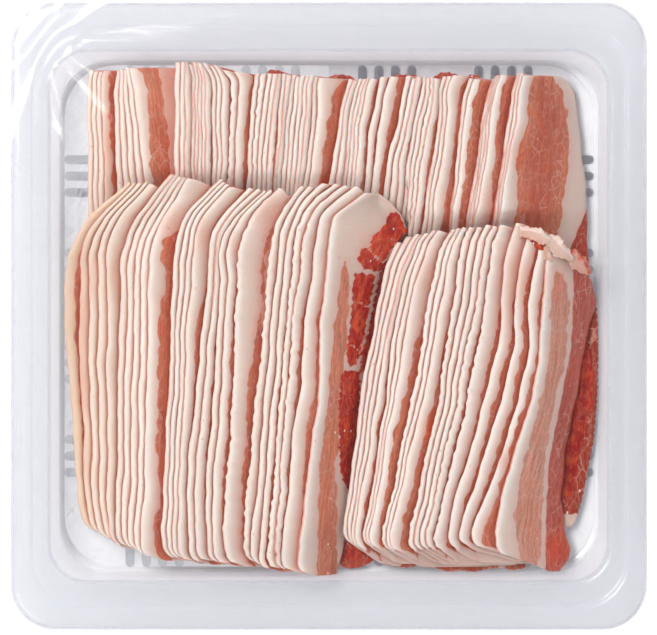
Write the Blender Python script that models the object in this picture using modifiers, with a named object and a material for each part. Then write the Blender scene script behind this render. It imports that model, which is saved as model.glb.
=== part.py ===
"""A square clear tray of sliced pork belly under a clear lidding film.

Three shingled piles of thin slices lie in the tray: one along the back, two in front whose far ends
climb onto it. Every slice leans on the one before, so only its fat edge and a strip of its face show.
Metres, +Z up, origin at the middle of the tray's flat underside, +Y towards the back.
"""

import math

import bmesh
import bpy
import numpy as np

MM = 0.001

# Tray
TRAY_WIDTH = 296 * MM
TRAY_DEPTH = 292 * MM
TRAY_HEIGHT = 42 * MM
SHEET = 0.8 * MM
SIDE_FLANGE = 18 * MM
END_FLANGE = 22.5 * MM
OUTER_CORNER = 20 * MM
FLOOR_INSET = 3.5 * MM
LIP_DROP = 3 * MM
CORNER_STEPS = 5

# Ribs on the tray floor that keep the meat out of its juice
RIB_HEIGHT = 1.5 * MM
RIB_WIDTH = 4.6 * MM
RIB_LENGTH = 30 * MM
RIB_PITCH = 7.7 * MM
RIB_WALL_GAP = 2.5 * MM
RIB_GROUPS = 4
RIBS_IN_END_GROUP = 4
RIBS_IN_SIDE_GROUP = 3

# Film
FILM_THICKNESS = 0.5 * MM
FILM_OVERHANG = 2.2 * MM
FILM_SAG = 1.6 * MM

# Meat
CLEARANCE = 0.35 * MM
SLICE = 2.0 * MM
RISE = 2.6 * MM
MEAT_FLOOR = SHEET + RIB_HEIGHT + CLEARANCE
LIFT = 0.5 * MM
END_JITTER = 0.9 * MM
RAMP_SLICES = 10
FUSED_DROP = 0.5 * MM
STEEPEST = 0.95
TUCK = 1.6 * MM
FUSED_OFFSET = (-1.1 * MM, -6.0 * MM)
TOP_OFFSET = (-0.7 * MM, -1.5 * MM)
FLANK_STEPS = 6
CORE_DEPTH = 4.6 * MM
CORE_INSET = 3 * MM
CORE_ROWS = 5
CORE_SPAN = {
    "back_pile": (16 * MM, 130 * MM),
    "left_pile": (-130 * MM, 58 * MM),
    "right_pile": (-130 * MM, 34 * MM),
}
BACK_STATIONS = (0.0, 0.35, 1.0)
LEFT_STATIONS = (0.0, 0.65, 0.8, 0.93, 1.0)
RIGHT_STATIONS = (0.0, 0.7, 0.9, 1.0)
BACK_TOP_STATIONS = (0.0, 0.2, 0.4, 0.6, 0.8, 0.95, 1.0)
LEFT_TOP_STATIONS = (0.0, 0.04, 0.2, 0.4, 0.6, 0.75, 0.85, 0.93, 1.0)
RIGHT_UNDER = ((113.5 * MM, 125.2 * MM), (-95 * MM, 22 * MM))
FRONT_UNDER = ((4.5 * MM, 20 * MM), (-118 * MM, -108.8 * MM))
SCRAP_PLACE = (99 * MM, 35 * MM)
SCRAP_SIZE = (22 * MM, 13 * MM)
SCRAP_HEIGHT = 37.2 * MM
LEFT_REST = (10 * MM, 0.47)
RIGHT_REST = (12 * MM, 0.72)
REST_CHANGE = 37 * MM
SEED = 11

FAT = (0.93, 0.82, 0.75, 1.0)
LEAN = (0.62, 0.22, 0.16, 1.0)
PLASTIC = (0.82, 0.85, 0.9, 0.45)
CLEAR = (0.95, 0.96, 0.98, 0.2)


# ---------------------------------------------------------------- scene helpers


def clear_scene():
    for thing in list(bpy.data.objects):
        bpy.data.objects.remove(thing)


def collection_named(name):
    group = bpy.data.collections.new(name)
    bpy.context.scene.collection.children.link(group)
    return group


def material(name, colour, roughness, alpha=1.0):
    made = bpy.data.materials.new(name)
    made.use_nodes = True
    shader = made.node_tree.nodes["Principled BSDF"]
    shader.inputs["Base Color"].default_value = colour
    shader.inputs["Roughness"].default_value = roughness
    shader.inputs["Metallic"].default_value = 0.0
    shader.inputs["Alpha"].default_value = alpha
    made.diffuse_color = (*colour[:3], alpha)
    return made


def plane(y, foot, slope):
    """Height at y of a plane that stands at the meat's floor at y = foot."""
    return MEAT_FLOOR + slope * (y - foot)


def smooth(value):
    """0 below 0, 1 above 1, and an even S between."""
    held = np.clip(value, 0.0, 1.0)
    return held * held * (3 - 2 * held)


def object_of(mesh, name, group, finish):
    mesh.name = name
    made = bpy.data.objects.new(name, mesh)
    group.objects.link(made)
    mesh.materials.clear()
    mesh.materials.append(finish)
    return made


def sheet_object(name, x, y, z, group, finish):
    """A grid primitive whose points are moved onto the surface x, y, z (columns across, rows along)."""
    columns, rows = x.shape
    shape = bmesh.new()
    bmesh.ops.create_grid(shape, x_segments=columns - 1, y_segments=rows - 1, size=0.5)
    mesh = bpy.data.meshes.new(name)
    shape.to_mesh(mesh)
    shape.free()
    places = np.empty(len(mesh.vertices) * 3, np.float32)
    mesh.vertices.foreach_get("co", places)
    places = places.reshape(-1, 3)
    column = np.rint((places[:, 0] + 0.5) * (columns - 1)).astype(int)
    row = np.rint((places[:, 1] + 0.5) * (rows - 1)).astype(int)
    moved = np.stack([x[column, row], y[column, row], z[column, row]], axis=1)
    mesh.vertices.foreach_set("co", moved.astype(np.float32).ravel())
    mesh.update()
    return object_of(mesh, name, group, finish)


def thicken(thing, thickness, offset=-1.0):
    wall = thing.modifiers.new("thickness", "SOLIDIFY")
    wall.thickness = thickness
    wall.offset = offset
    return wall


def apply_modifiers(thing):
    graph = bpy.context.evaluated_depsgraph_get()
    baked = bpy.data.meshes.new_from_object(thing.evaluated_get(graph))
    thing.modifiers.clear()
    thing.data = baked


def join_all(body, pieces, operation="UNION", solver="MANIFOLD"):
    """One Boolean of every object in the collection pieces with body, applied; the pieces are removed."""
    for piece in pieces.objects:
        apply_modifiers(piece)
    cut = body.modifiers.new("join", "BOOLEAN")
    cut.operation = operation
    cut.operand_type = "COLLECTION"
    cut.collection = pieces
    cut.solver = solver
    bpy.context.view_layer.update()
    apply_modifiers(body)
    for piece in list(pieces.objects):
        bpy.data.objects.remove(piece)


def keep_largest_shell(thing):
    """Fills sealed hollows and drops loose scraps, so that one closed body is left."""
    shape = bmesh.new()
    shape.from_mesh(thing.data)
    unseen = set(shape.verts)
    shells = []
    while unseen:
        front = [unseen.pop()]
        shell = list(front)
        while front:
            joined = {edge.other_vert(vert) for vert in front for edge in vert.link_edges} & unseen
            unseen -= joined
            shell += joined
            front = list(joined)
        shells.append(shell)
    shells.sort(key=len)
    for shell in shells[:-1]:
        bmesh.ops.delete(shape, geom=shell, context="VERTS")
    shape.to_mesh(thing.data)
    shape.free()


# ---------------------------------------------------------------- tray and film


def rounded_outline(width, depth, corner):
    """Points of a rounded rectangle, anticlockwise, with arcs of CORNER_STEPS steps at its corners."""
    arc = np.linspace(0, math.pi / 2, CORNER_STEPS + 1)
    points = []
    for turn, (across, along) in enumerate(((1, 1), (-1, 1), (-1, -1), (1, -1))):
        angle = arc + turn * math.pi / 2
        x = across * (width / 2 - corner) + corner * np.cos(angle)
        y = along * (depth / 2 - corner) + corner * np.sin(angle)
        points.append(np.stack([x, y], axis=1))
    return np.concatenate(points)


def tray_rings():
    """(width, depth, corner radius, z) of the tray sheet's lower face, from the floor out to the lip."""
    cavity_w = TRAY_WIDTH - 2 * SIDE_FLANGE
    cavity_d = TRAY_DEPTH - 2 * END_FLANGE
    floor_w = cavity_w - 2 * FLOOR_INSET
    floor_d = cavity_d - 2 * FLOOR_INSET
    top = TRAY_HEIGHT - SHEET
    step = 1.2 * MM
    return (
        (floor_w - 3 * MM, floor_d - 3 * MM, 24 * MM, 0.0),
        (floor_w + 1 * MM, floor_d + 1 * MM, 24 * MM, 1.5 * MM),
        (floor_w + 2 * MM, floor_d + 2 * MM, 23 * MM, 5 * MM),
        (cavity_w, cavity_d, 18 * MM, top - 2.5 * MM),
        (cavity_w + 1.5 * MM, cavity_d + 1.5 * MM, 18.5 * MM, top - step),
        (TRAY_WIDTH - 20 * MM, TRAY_DEPTH - 22 * MM, 22 * MM, top - step),
        (TRAY_WIDTH - 18 * MM, TRAY_DEPTH - 20 * MM, 22 * MM, top),
        (TRAY_WIDTH - 2 * MM, TRAY_DEPTH - 2 * MM, OUTER_CORNER, top),
        (TRAY_WIDTH - 1.6 * MM, TRAY_DEPTH - 1.6 * MM, OUTER_CORNER, top - LIP_DROP),
    )


def tray_sheet(group, finish):
    """The thermoformed sheet: a loft through unlike rounded rectangles, thickened upwards from its lower face."""
    shape = bmesh.new()
    rings = []
    for width, depth, corner, z in tray_rings():
        outline = rounded_outline(width, depth, corner)
        rings.append([shape.verts.new((x, y, z)) for x, y in outline])
    shape.faces.new(rings[0])
    for inner, outer in zip(rings, rings[1:]):
        for here in range(len(inner)):
            there = (here + 1) % len(inner)
            shape.faces.new((inner[here], outer[here], outer[there], inner[there]))
    mesh = bpy.data.meshes.new("tray")
    shape.to_mesh(mesh)
    shape.free()
    tray = object_of(mesh, "tray", group, finish)
    thicken(tray, SHEET, offset=1.0)
    return tray


def rib(x, y, turned, group, finish):
    """A long dome: a sphere whose halves are drawn apart, with its lower side flat inside the floor."""
    shape = bmesh.new()
    bmesh.ops.create_uvsphere(shape, u_segments=6, v_segments=3, radius=1.1)
    run = (RIB_LENGTH - RIB_WIDTH) / 2
    for vert in shape.verts:
        along = vert.co.z * RIB_WIDTH / 2 + math.copysign(run, vert.co.z)
        across = vert.co.x * RIB_WIDTH / 2
        height = SHEET + max(vert.co.y * RIB_HEIGHT, -SHEET / 2)
        vert.co = (along, across, height) if turned else (across, -along, height)
    bmesh.ops.recalc_face_normals(shape, faces=shape.faces)
    mesh = bpy.data.meshes.new("rib")
    shape.to_mesh(mesh)
    shape.free()
    made = object_of(mesh, "rib", group, finish)
    made.location = (x, y, 0)
    return made


def rib_places(span, ribs):
    """Where a wall's ribs stand: RIB_GROUPS even groups along the span."""
    for number in range(RIB_GROUPS):
        middle = (number - (RIB_GROUPS - 1) / 2) * span / RIB_GROUPS
        for place in range(ribs):
            yield middle + (place - (ribs - 1) / 2) * RIB_PITCH


def build_tray(group, finish):
    tray = tray_sheet(group, finish)
    apply_modifiers(tray)
    ribs = collection_named("ribs")
    half_w = TRAY_WIDTH / 2 - SIDE_FLANGE - FLOOR_INSET - RIB_WALL_GAP - RIB_LENGTH / 2
    half_d = TRAY_DEPTH / 2 - END_FLANGE - FLOOR_INSET - RIB_WALL_GAP - RIB_LENGTH / 2
    for side in (-1, 1):
        for place in rib_places(2 * half_w, RIBS_IN_END_GROUP):
            rib(place, side * half_d, False, ribs, finish)
        for place in rib_places(2 * half_d - RIB_LENGTH, RIBS_IN_SIDE_GROUP):
            rib(side * half_w, place, True, ribs, finish)
    join_all(tray, ribs, solver="EXACT")
    return tray


def build_film(group, finish):
    """The lid: a disc-like grid stretched to the tray's outline, sagging inside the flange."""
    rings = np.array([0.0, 0.5, 0.84, 0.9, 1.0])
    outline = rounded_outline(TRAY_WIDTH, TRAY_DEPTH, OUTER_CORNER)
    angle = np.arctan2(outline[:, 1], outline[:, 0])
    ripple = 0.6 * np.sin(5 * angle + 0.8) + 0.4 * np.sin(11 * angle)
    reach = 1 + (FILM_OVERHANG * (0.7 + 0.5 * ripple)) / np.hypot(outline[:, 0], outline[:, 1])
    edge = outline * reach[:, None]
    shape = bmesh.new()
    top = TRAY_HEIGHT + CLEARANCE
    centre = shape.verts.new((0, 0, top - FILM_SAG))
    loops = []
    for ring in rings[1:]:
        sag = FILM_SAG * smooth((0.86 - ring) / 0.5)
        loops.append([shape.verts.new((x * ring, y * ring, top - sag)) for x, y in edge])
    count = len(edge)
    for here in range(count):
        shape.faces.new((centre, loops[0][here], loops[0][(here + 1) % count]))
    for inner, outer in zip(loops, loops[1:]):
        for here in range(count):
            there = (here + 1) % count
            shape.faces.new((inner[here], outer[here], outer[there], inner[there]))
    mesh = bpy.data.meshes.new("film")
    shape.to_mesh(mesh)
    shape.free()
    film = object_of(mesh, "lid_film", group, finish)
    thicken(film, FILM_THICKNESS, offset=1.0)
    return film


# ---------------------------------------------------------------- piles of slices


class Pile:
    """The edge lines of one shingled pile.

    bundles lists (slices, pitch in mm, reach in mm): how many slices lie close together, how far
    apart, and how far the last of them shows before the next bundle. Line j is the upper fat edge of
    slice j. front, back, first_height and tip say where the slices end and how they begin.
    """

    def __init__(self, name, across, middle, bundles, front, back, first_height, lean, bow, tip, slant, height, rest):
        self.name = name
        self.middle = middle
        self.front = front
        self.back = back
        self.first_height = first_height
        self.lean = lean
        self.bow = bow
        self.tip = tip
        self.slant = slant
        self.height = height
        self.rest = rest
        places, lifts = [0.0], []
        for slices, pitch, reach in bundles:
            for number in range(slices):
                step = pitch if number < slices - 1 else reach
                places.append(places[-1] + step)
                lifts.append((number - (slices - 1) / 2) * LIFT)
        places = np.array(places[:-1])
        self.places = across[0] + (across[1] - across[0]) * places / places[-1]
        self.lifts = np.array(lifts)
        self.count = len(lifts)
        rng = np.random.default_rng(SEED + self.count)
        self.phases = rng.uniform(0, 2 * math.pi, (self.count, 2))
        self.ends = rng.uniform(-END_JITTER, END_JITTER, (self.count, 2))

    def seat(self, y):
        """What the pile lies on: the floor, and past its far ends the plane that the back pile stays under."""
        if self.rest is None:
            return MEAT_FLOOR + 0.0 * y
        return np.maximum(MEAT_FLOOR, plane(y, *self.rest) + CLEARANCE)

    def share(self, number):
        return min(number, self.count - 1) / (self.count - 1)

    def ends_of(self, number):
        """Front and back Y of a slice: they drift along the pile and vary a little from slice to slice."""
        jitter = self.ends[min(number, self.count - 1)]
        front = np.interp(self.share(number), *self.front) * MM + jitter[0]
        back = np.interp(self.share(number), *self.back) * MM + jitter[1]
        return front, back

    def body_height(self, number, y):
        """Top of the pile without its bundles: it ramps up over the first slices and follows height(share, y)."""
        ramp = min(self.first_height + (1 - self.first_height) * number / RAMP_SLICES, 1.0)
        return MEAT_FLOOR + self.height(self.share(number), y) * ramp

    def line(self, number, y):
        """X and Z of edge line `number` at each y."""
        held = min(number, self.count - 1)
        share = self.share(held)
        away = y - self.middle
        first, second = self.phases[held]
        wobble = 0.3 * np.sin(y / (9 * MM) + first) + 0.35 * np.sin(y / (23 * MM) + second)
        bend = np.interp(share, *self.bow) * away**2
        x = self.places[held] + self.lean(share) * away + bend
        x = x + self.corner_shift(held, y) + wobble * 0.5 * MM
        z = self.body_height(number, y) + self.lifts[held] + wobble * 0.4 * MM
        return x, z

    def corner_shift(self, number, y):
        """The far left corner is cut back along a superellipse, and the near one has a small round."""
        width, length = self.tip
        front, back = self.ends_of(number)
        far = np.clip((y - (back - length)) / length, 0, 0.985)
        near = np.clip((front + 6 * MM - y) / (6 * MM), 0, 0.95)
        return width * (1 - (1 - far**1.6) ** (1 / 1.6)) + 3.2 * MM * (1 - np.sqrt(1 - near**2))


def lean_back(share):
    return 0.105 * float(smooth((share - 0.2) / 0.25))


def lean_left(share):
    return -0.089 + 0.187 * (1 - (1 - share) ** 3)


def lean_right(share):
    return 0.206 - 0.056 * share


def height_back(share, y):
    """Full behind, and tapering to thin ends under the front piles."""
    start = 62 * MM - 20 * MM * float(smooth((share - 0.42) / 0.15))
    taper = smooth((start + 10 * MM - y) / (48 * MM))
    fall = smooth((y - 105 * MM) / (14 * MM))
    return 25 * MM - 18 * MM * taper - 4 * MM * fall


def height_left(share, y):
    """The far ends rise onto the back pile, and the near ends droop."""
    rise = 7 * MM * smooth((y + 4 * MM) / (48 * MM))
    droop = 4 * MM * smooth((-98 * MM - y) / (20 * MM))
    fall = 2 * MM * smooth((y - 50 * MM) / (14 * MM))
    return 25 * MM + rise - droop - fall


def height_right(share, y):
    rise = 7 * MM * smooth((y + 14 * MM) / (44 * MM))
    droop = 4 * MM * smooth((-100 * MM - y) / (20 * MM))
    return 25 * MM + rise - droop


def piles():
    back = Pile(
        "back_pile",
        across=(-113.8 * MM, 81.8 * MM),
        middle=79 * MM,
        bundles=(
            (4, 2.4, 5.8), (5, 2.7, 17.0), (3, 2.3, 3.0), (5, 2.0, 2.8), (3, 2.0, 4.2), (2, 3.2, 5.7),
            (5, 2.4, 3.3), (2, 2.0, 2.3), (5, 2.0, 4.2), (2, 2.0, 7.6), (2, 2.7, 4.6), (4, 1.9, 4.0),
            (1, 0.0, 5.1), (1, 0.0, 5.1), (3, 1.8, 5.8), (4, 2.2, 4.9), (3, 2.1, 6.4), (2, 2.7, 7.0),
            (4, 2.0, 5.7), (3, 2.0, 0.0),
        ),
        front=((0, 0.12, 0.45, 0.6, 1), (44, 50, 50, 31, 26)),
        back=((0, 0.2, 0.24, 0.55, 0.6, 1), (114.5, 115, 117.2, 116, 113, 113)),
        first_height=0.25,
        lean=lean_back,
        bow=((0, 1), (0.0, 0.0)),
        tip=(2.5 * MM, 5 * MM),
        slant=0.0,
        height=height_back,
        rest=None,
    )
    left = Pile(
        "left_pile",
        across=(-120.4 * MM, -5.7 * MM),
        middle=-39 * MM,
        bundles=(
            (5, 4.2, 5.4), (5, 3.1, 11.3), (4, 2.6, 4.2), (2, 2.2, 5.6), (2, 2.8, 7.9), (1, 0.0, 10.0),
            (5, 2.9, 8.4), (1, 0.0, 8.2), (1, 0.0, 0.0),
        ),
        front=((0, 0.18, 0.4, 0.6, 1), (-96, -107, -112, -114, -117.5)),
        back=((0, 0.2, 0.4, 0.55, 1), (60, 64, 64, 60, 57)),
        first_height=0.25,
        lean=lean_left,
        bow=((0, 0.2, 1), (0.8, 0.2, -0.38)),
        tip=(26 * MM, 36 * MM),
        slant=2.2 * MM,
        height=height_left,
        rest=LEFT_REST,
    )
    right = Pile(
        "right_pile",
        across=(19.0 * MM, 99.3 * MM),
        middle=-13.3 * MM,
        bundles=(
            (4, 1.8, 4.5), (3, 2.8, 10.5), (3, 2.1, 7.0), (4, 2.9, 5.6), (1, 0.0, 9.6), (1, 0.0, 6.9),
            (1, 0.0, 7.7), (1, 0.0, 4.9), (1, 0.0, 0.0),
        ),
        front=((0, 0.2, 0.4, 0.7, 1), (-105, -110, -113, -117, -117)),
        back=((0, 0.3, 0.7, 0.85, 1), (36, 40, 40, 33, 28)),
        first_height=0.6,
        lean=lean_right,
        bow=((0, 0.5, 1), (1.1, 0.2, -0.5)),
        tip=(8 * MM, 14 * MM),
        slant=1.2 * MM,
        height=height_right,
        rest=RIGHT_REST,
    )
    return back, left, right


class Flank:
    """The slope under a pile's top slice, from the last edge line down to its right edge.

    edge(y) is the X of the right edge and foot(y) its height above the tray's underside.
    """

    def __init__(self, pile, edge, foot):
        self.pile = pile
        self.edge = edge
        self.foot = foot

    def point(self, share, y):
        """X and Z at `share` of the way down, 0 at the last edge line and 1 at the right edge."""
        x, z = self.pile.line(self.pile.count - 1, y)
        ease = 0.55 * share + 0.45 * share**2
        right = np.maximum(self.edge(y), x + 3 * MM)
        drop = np.minimum(z - self.foot(y), STEEPEST * (right - x))
        return x + (right - x) * share, z - drop * ease


def slice_surface(pile, flank, number, steps, stations, gap):
    """x, y, z grids of a slice's upper face. It lies `step` slices deep where it passes line number + step."""
    front, back = pile.ends_of(number)
    y = front + (back - front) * np.array(stations)
    x_grid, y_grid, z_grid = [], [], []
    for step in steps:
        row = y - step * pile.slant * smooth((np.array(stations) - 0.75) / 0.25)
        target = number + step
        if target < pile.count:
            x, z = pile.line(target, row)
            z = z - step * RISE
        else:
            share = min((target - pile.count + 1) / FLANK_STEPS, 1.0)
            x, z = flank.point(share, row)
            z = z - (pile.count - 1 - number) * RISE
        if x_grid:
            x = np.maximum(x, x_grid[-1] + 0.3 * MM)
        x_grid.append(x)
        y_grid.append(row)
        z = np.maximum(z - gap, pile.seat(row) + (1.4 + 0.012 * number) * MM)
        if pile.rest is None:
            spare = 3 * MM if pile.count - 4 < number < pile.count - 1 else 0.0
            z = np.minimum(z, plane(row, *rest_at(x)) - spare)
        z_grid.append(z)
    return np.array(x_grid), np.array(y_grid), np.array(z_grid)


def rest_at(x):
    """The plane that the back pile stays under, so that the front piles' far ends can lie on it."""
    right = x > REST_CHANGE
    return np.where(right, RIGHT_REST[0], LEFT_REST[0]), np.where(right, RIGHT_REST[1], LEFT_REST[1])


def level_floor(height):
    return lambda y: height + 0.0 * y


def slab(name, surface, offset, floor, group, finish):
    """A closed slab: the surface's grid, extruded by the offset but never below floor(y)."""
    made = sheet_object(name, *surface, group, finish)
    shape = bmesh.new()
    shape.from_mesh(made.data)
    walls = bmesh.ops.extrude_face_region(shape, geom=shape.faces[:])
    for part in walls["geom"]:
        if isinstance(part, bmesh.types.BMVert):
            part.co.x += offset[0]
            part.co.z = max(part.co.z + offset[1], floor(part.co.y))
    bmesh.ops.recalc_face_normals(shape, faces=shape.faces)
    bmesh.ops.triangulate(shape, faces=shape.faces)
    shape.to_mesh(made.data)
    shape.free()
    return made


def extend_under(surface, tuck):
    """Carries a slice's hidden right edge on along its own slope, by tuck across."""
    x, _, z = surface
    slope = (z[-1] - z[-2]) / np.maximum(x[-1] - x[-2], 1 * MM)
    x[-1] += tuck
    z[-1] += np.clip(slope, -1.2, 0.0) * tuck


def pile_core(pile, flank, flank_shares, group, finish):
    """The mass under the slices: a grid below their mean height, closed down to the meat's floor."""
    numbers = list(range(2, pile.count, 4)) + [pile.count - 1]
    rows = np.linspace(0, 1, CORE_ROWS)
    x_grid, y_grid, z_grid = [], [], []
    for number in numbers:
        front, back = pile.ends_of(number)
        low, high = CORE_SPAN[pile.name]
        low = low if low > 0 else front + CORE_INSET
        y = low + (min(back, high) - CORE_INSET - low) * rows
        x, _ = pile.line(number, y)
        x_grid.append(x)
        y_grid.append(y)
        z = np.maximum(pile.body_height(number, y) - CORE_DEPTH, pile.seat(y) + 0.5 * MM)
        if pile.rest is None:
            z = np.minimum(z, plane(y, *rest_at(x)) - 4 * MM)
        z_grid.append(np.maximum(z, MEAT_FLOOR + 0.6 * MM))
    for share in flank_shares:
        x, z = flank.point(share, y_grid[-1])
        z = z - 0.4 * MM
        x_grid.append(x)
        y_grid.append(y_grid[-1])
        z = np.maximum(z - CORE_DEPTH * 0.75, pile.seat(y_grid[-1]) + 0.5 * MM)
        if pile.rest is None:
            z = np.minimum(z, plane(y_grid[-1], *rest_at(x)) - 4 * MM)
        z_grid.append(np.maximum(z, MEAT_FLOOR + 0.6 * MM))
    surface = np.array(x_grid), np.array(y_grid), np.array(z_grid)
    return slab(pile.name, surface, (0.0, -TRAY_HEIGHT), pile.seat, group, finish)


def build_pile(pile, flank, stations, flank_shares, group, finish):
    """A core with every slice but the top one fused on."""
    slices = collection_named(pile.name + "_slices")
    for number in range(pile.count - 1):
        drop = FUSED_DROP * (3.6 if number == pile.count - 2 else 1.0)
        surface = slice_surface(pile, flank, number, (0, 1), stations, drop)
        extend_under(surface, TUCK)
        lift = (0.05 + 0.009 * number) * MM
        slab("slice", surface, FUSED_OFFSET, lambda y, lift=lift: pile.seat(y) + lift, slices, finish)
    core = pile_core(pile, flank, flank_shares, group, finish)
    join_all(core, slices)
    keep_largest_shell(core)
    return core


def build_top_slice(name, pile, flank, stations, group, finish):
    """The whole slice that lies on the pile, a separate body."""
    steps = range(FLANK_STEPS + 1)
    surface = slice_surface(pile, flank, pile.count - 1, steps, stations, 0.0)
    return slab(name, surface, TOP_OFFSET, pile.seat, group, finish)


def flat_slice(name, x_ends, y_ends, bottom, group, finish, waves=2.0):
    """A slice lying on the ribs, its long edges a little wavy and its corners drawn in."""
    across, along = np.meshgrid(np.linspace(0, 1, 5), np.linspace(0, 1, 9), indexing="ij")
    pull = 0.12 * smooth((abs(along - 0.5) - 0.38) / 0.12) * (0.5 - across)
    x = x_ends[0] + (x_ends[1] - x_ends[0]) * (across + pull)
    x = x + 0.6 * MM * np.sin(waves * 2 * math.pi * along + 0.7)
    y = y_ends[0] + (y_ends[1] - y_ends[0]) * along
    z = bottom + SLICE + 0 * x
    return slab(name, (x, y, z), (0.0, -SLICE), level_floor(bottom), group, finish)


def folded_scrap(name, place, size, height, group, finish):
    """A short slice end that has fallen over itself in two soft waves."""
    across, along = np.meshgrid(np.linspace(0, 1, 13), np.linspace(0, 1, 4), indexing="ij")
    x = place[0] + size[0] * (across - 0.5) + 0.12 * size[0] * np.sin(2 * math.pi * across)
    y = place[1] + size[1] * (along - 0.5) * (0.7 + 0.3 * np.sin(math.pi * across))
    z = height + 1.6 * MM * np.sin(4 * math.pi * across) - 0.3 * (y - place[1])
    return slab(name, (x, y, z), (0.0, -SLICE), level_floor(0.0), group, finish)


def build_meat(group, fat, lean):
    back, left, right = piles()
    back_flank = Flank(back, edge_back, foot_back)
    left_flank = Flank(left, edge_left, foot_left)
    right_flank = Flank(right, edge_right, foot_right)
    build_pile(back, back_flank, BACK_STATIONS, (0.4, 0.8), group, fat)
    build_pile(left, left_flank, LEFT_STATIONS, (0.5, 0.85), group, fat)
    build_pile(right, right_flank, RIGHT_STATIONS, (0.25, 0.5), group, fat)
    build_top_slice("back_top_slice", back, back_flank, BACK_TOP_STATIONS, group, lean)
    build_top_slice("left_top_slice", left, left_flank, LEFT_TOP_STATIONS, group, lean)
    build_top_slice("right_top_slice", right, right_flank, LEFT_TOP_STATIONS, group, lean)
    flat_slice("right_under_slice", RIGHT_UNDER[0], RIGHT_UNDER[1], MEAT_FLOOR, group, lean)
    flat_slice("front_under_slice", FRONT_UNDER[0], FRONT_UNDER[1], MEAT_FLOOR, group, lean, waves=1.0)
    folded_scrap("folded_scrap", SCRAP_PLACE, SCRAP_SIZE, SCRAP_HEIGHT, group, lean)


def edge_back(y):
    return 121.4 * MM - 0.095 * (y - 33 * MM)


def foot_back(y):
    return 6.0 * MM + 0.0 * y


def edge_left(y):
    """Along the right pile's first noses, then round the broad tongue at the far end."""
    away = y + 13.3 * MM
    beside = 16.4 * MM + 0.206 * away + 1.1 * away**2
    tongue = 36 * MM - 14 * MM * (np.clip(y - 38 * MM, 0, None) / (19.5 * MM)) ** 2
    return np.where(y < 36 * MM, beside, tongue)


def foot_left(y):
    return 8.5 * MM + 13 * MM * smooth((y - 16 * MM) / (16 * MM))


def edge_right(y):
    far = 11 * MM * smooth((y - 4 * MM) / (26 * MM))
    near = 7 * MM * (np.clip(-60 * MM - y, 0, None) / (57 * MM)) ** 2
    return 119.4 * MM - far - near


def foot_right(y):
    return 8.5 * MM + 14 * MM * smooth((y - 4 * MM) / (22 * MM))


def main():
    clear_scene()
    pack = collection_named("sliced_pork_belly_tray")
    plastic = material("clear_plastic", PLASTIC, 0.2, PLASTIC[3])
    clear = material("clear_film", CLEAR, 0.1, CLEAR[3])
    fat = material("meat_fat", FAT, 0.4)
    lean = material("meat_lean", LEAN, 0.4)
    build_tray(pack, plastic)
    build_film(pack, clear)
    build_meat(pack, fat, lean)
    for group in list(bpy.data.collections):
        if group is not pack:
            bpy.data.collections.remove(group)


main()
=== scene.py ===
import math
from types import SimpleNamespace

import bpy
import numpy as np
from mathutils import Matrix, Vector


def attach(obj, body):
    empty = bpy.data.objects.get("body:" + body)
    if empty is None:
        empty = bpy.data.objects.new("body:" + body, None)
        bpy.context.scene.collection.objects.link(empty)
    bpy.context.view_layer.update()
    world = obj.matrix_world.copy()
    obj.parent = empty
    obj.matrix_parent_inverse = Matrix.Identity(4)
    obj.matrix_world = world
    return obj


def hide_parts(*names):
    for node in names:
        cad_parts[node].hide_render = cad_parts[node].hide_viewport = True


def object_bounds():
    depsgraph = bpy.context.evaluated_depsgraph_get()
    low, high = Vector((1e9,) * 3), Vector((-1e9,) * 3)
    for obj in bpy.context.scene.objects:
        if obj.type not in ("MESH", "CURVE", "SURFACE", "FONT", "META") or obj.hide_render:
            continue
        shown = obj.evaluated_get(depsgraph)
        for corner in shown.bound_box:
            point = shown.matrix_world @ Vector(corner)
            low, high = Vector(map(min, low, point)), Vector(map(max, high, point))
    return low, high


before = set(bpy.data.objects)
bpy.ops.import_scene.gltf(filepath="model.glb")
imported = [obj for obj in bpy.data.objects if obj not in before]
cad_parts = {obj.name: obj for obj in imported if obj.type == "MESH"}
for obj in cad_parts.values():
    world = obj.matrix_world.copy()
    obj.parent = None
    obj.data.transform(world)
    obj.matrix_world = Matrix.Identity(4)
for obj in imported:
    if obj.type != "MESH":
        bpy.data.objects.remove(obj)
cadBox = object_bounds()
mm = 0.001
print("frame loaded")


def smoothStep(t):
    # 0 below 0, 1 above 1, 3t^2 - 2t^3 between
    held = np.clip(t, 0.0, 1.0)
    return held * held * (3 - 2 * held)


def waves(y, lengths, sizes, phases):
    # sum over k of sizes[k] * sin(2 pi y / lengths[k] + phases[k])
    total = 0.0
    for k, length in enumerate(lengths):
        total = total + sizes[k] * np.sin(2 * math.pi * y / length + phases[..., k:k + 1])
    return total


def triples(first, second, third):
    # three grids, or plain numbers beside a first grid, into one grid of x, y, z
    return np.stack([first, second + 0 * first, third + 0 * first], axis=-1)


def meshFrom(name, points, quads, slot, material, replaced=()):
    # points (n, 3) in mm and quads (m, 4) into one smooth mesh object at the origin
    mesh = bpy.data.meshes.new(name)
    mesh.vertices.add(len(points))
    mesh.vertices.foreach_set("co", (points * mm).astype(np.float32).ravel())
    mesh.loops.add(quads.size)
    mesh.loops.foreach_set("vertex_index", quads.astype(np.int32).ravel())
    mesh.polygons.add(len(quads))
    mesh.polygons.foreach_set("loop_start", np.arange(0, quads.size, 4, dtype=np.int32))
    mesh.update(calc_edges=True)
    mesh.validate()
    mesh.polygons.foreach_set("use_smooth", np.full(len(mesh.polygons), True))
    mesh.materials.append(material)
    piece = bpy.data.objects.new(name, mesh)
    bpy.context.scene.collection.objects.link(piece)
    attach(piece, "root")
    if replaced:
        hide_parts(*replaced)
    return piece


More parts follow.
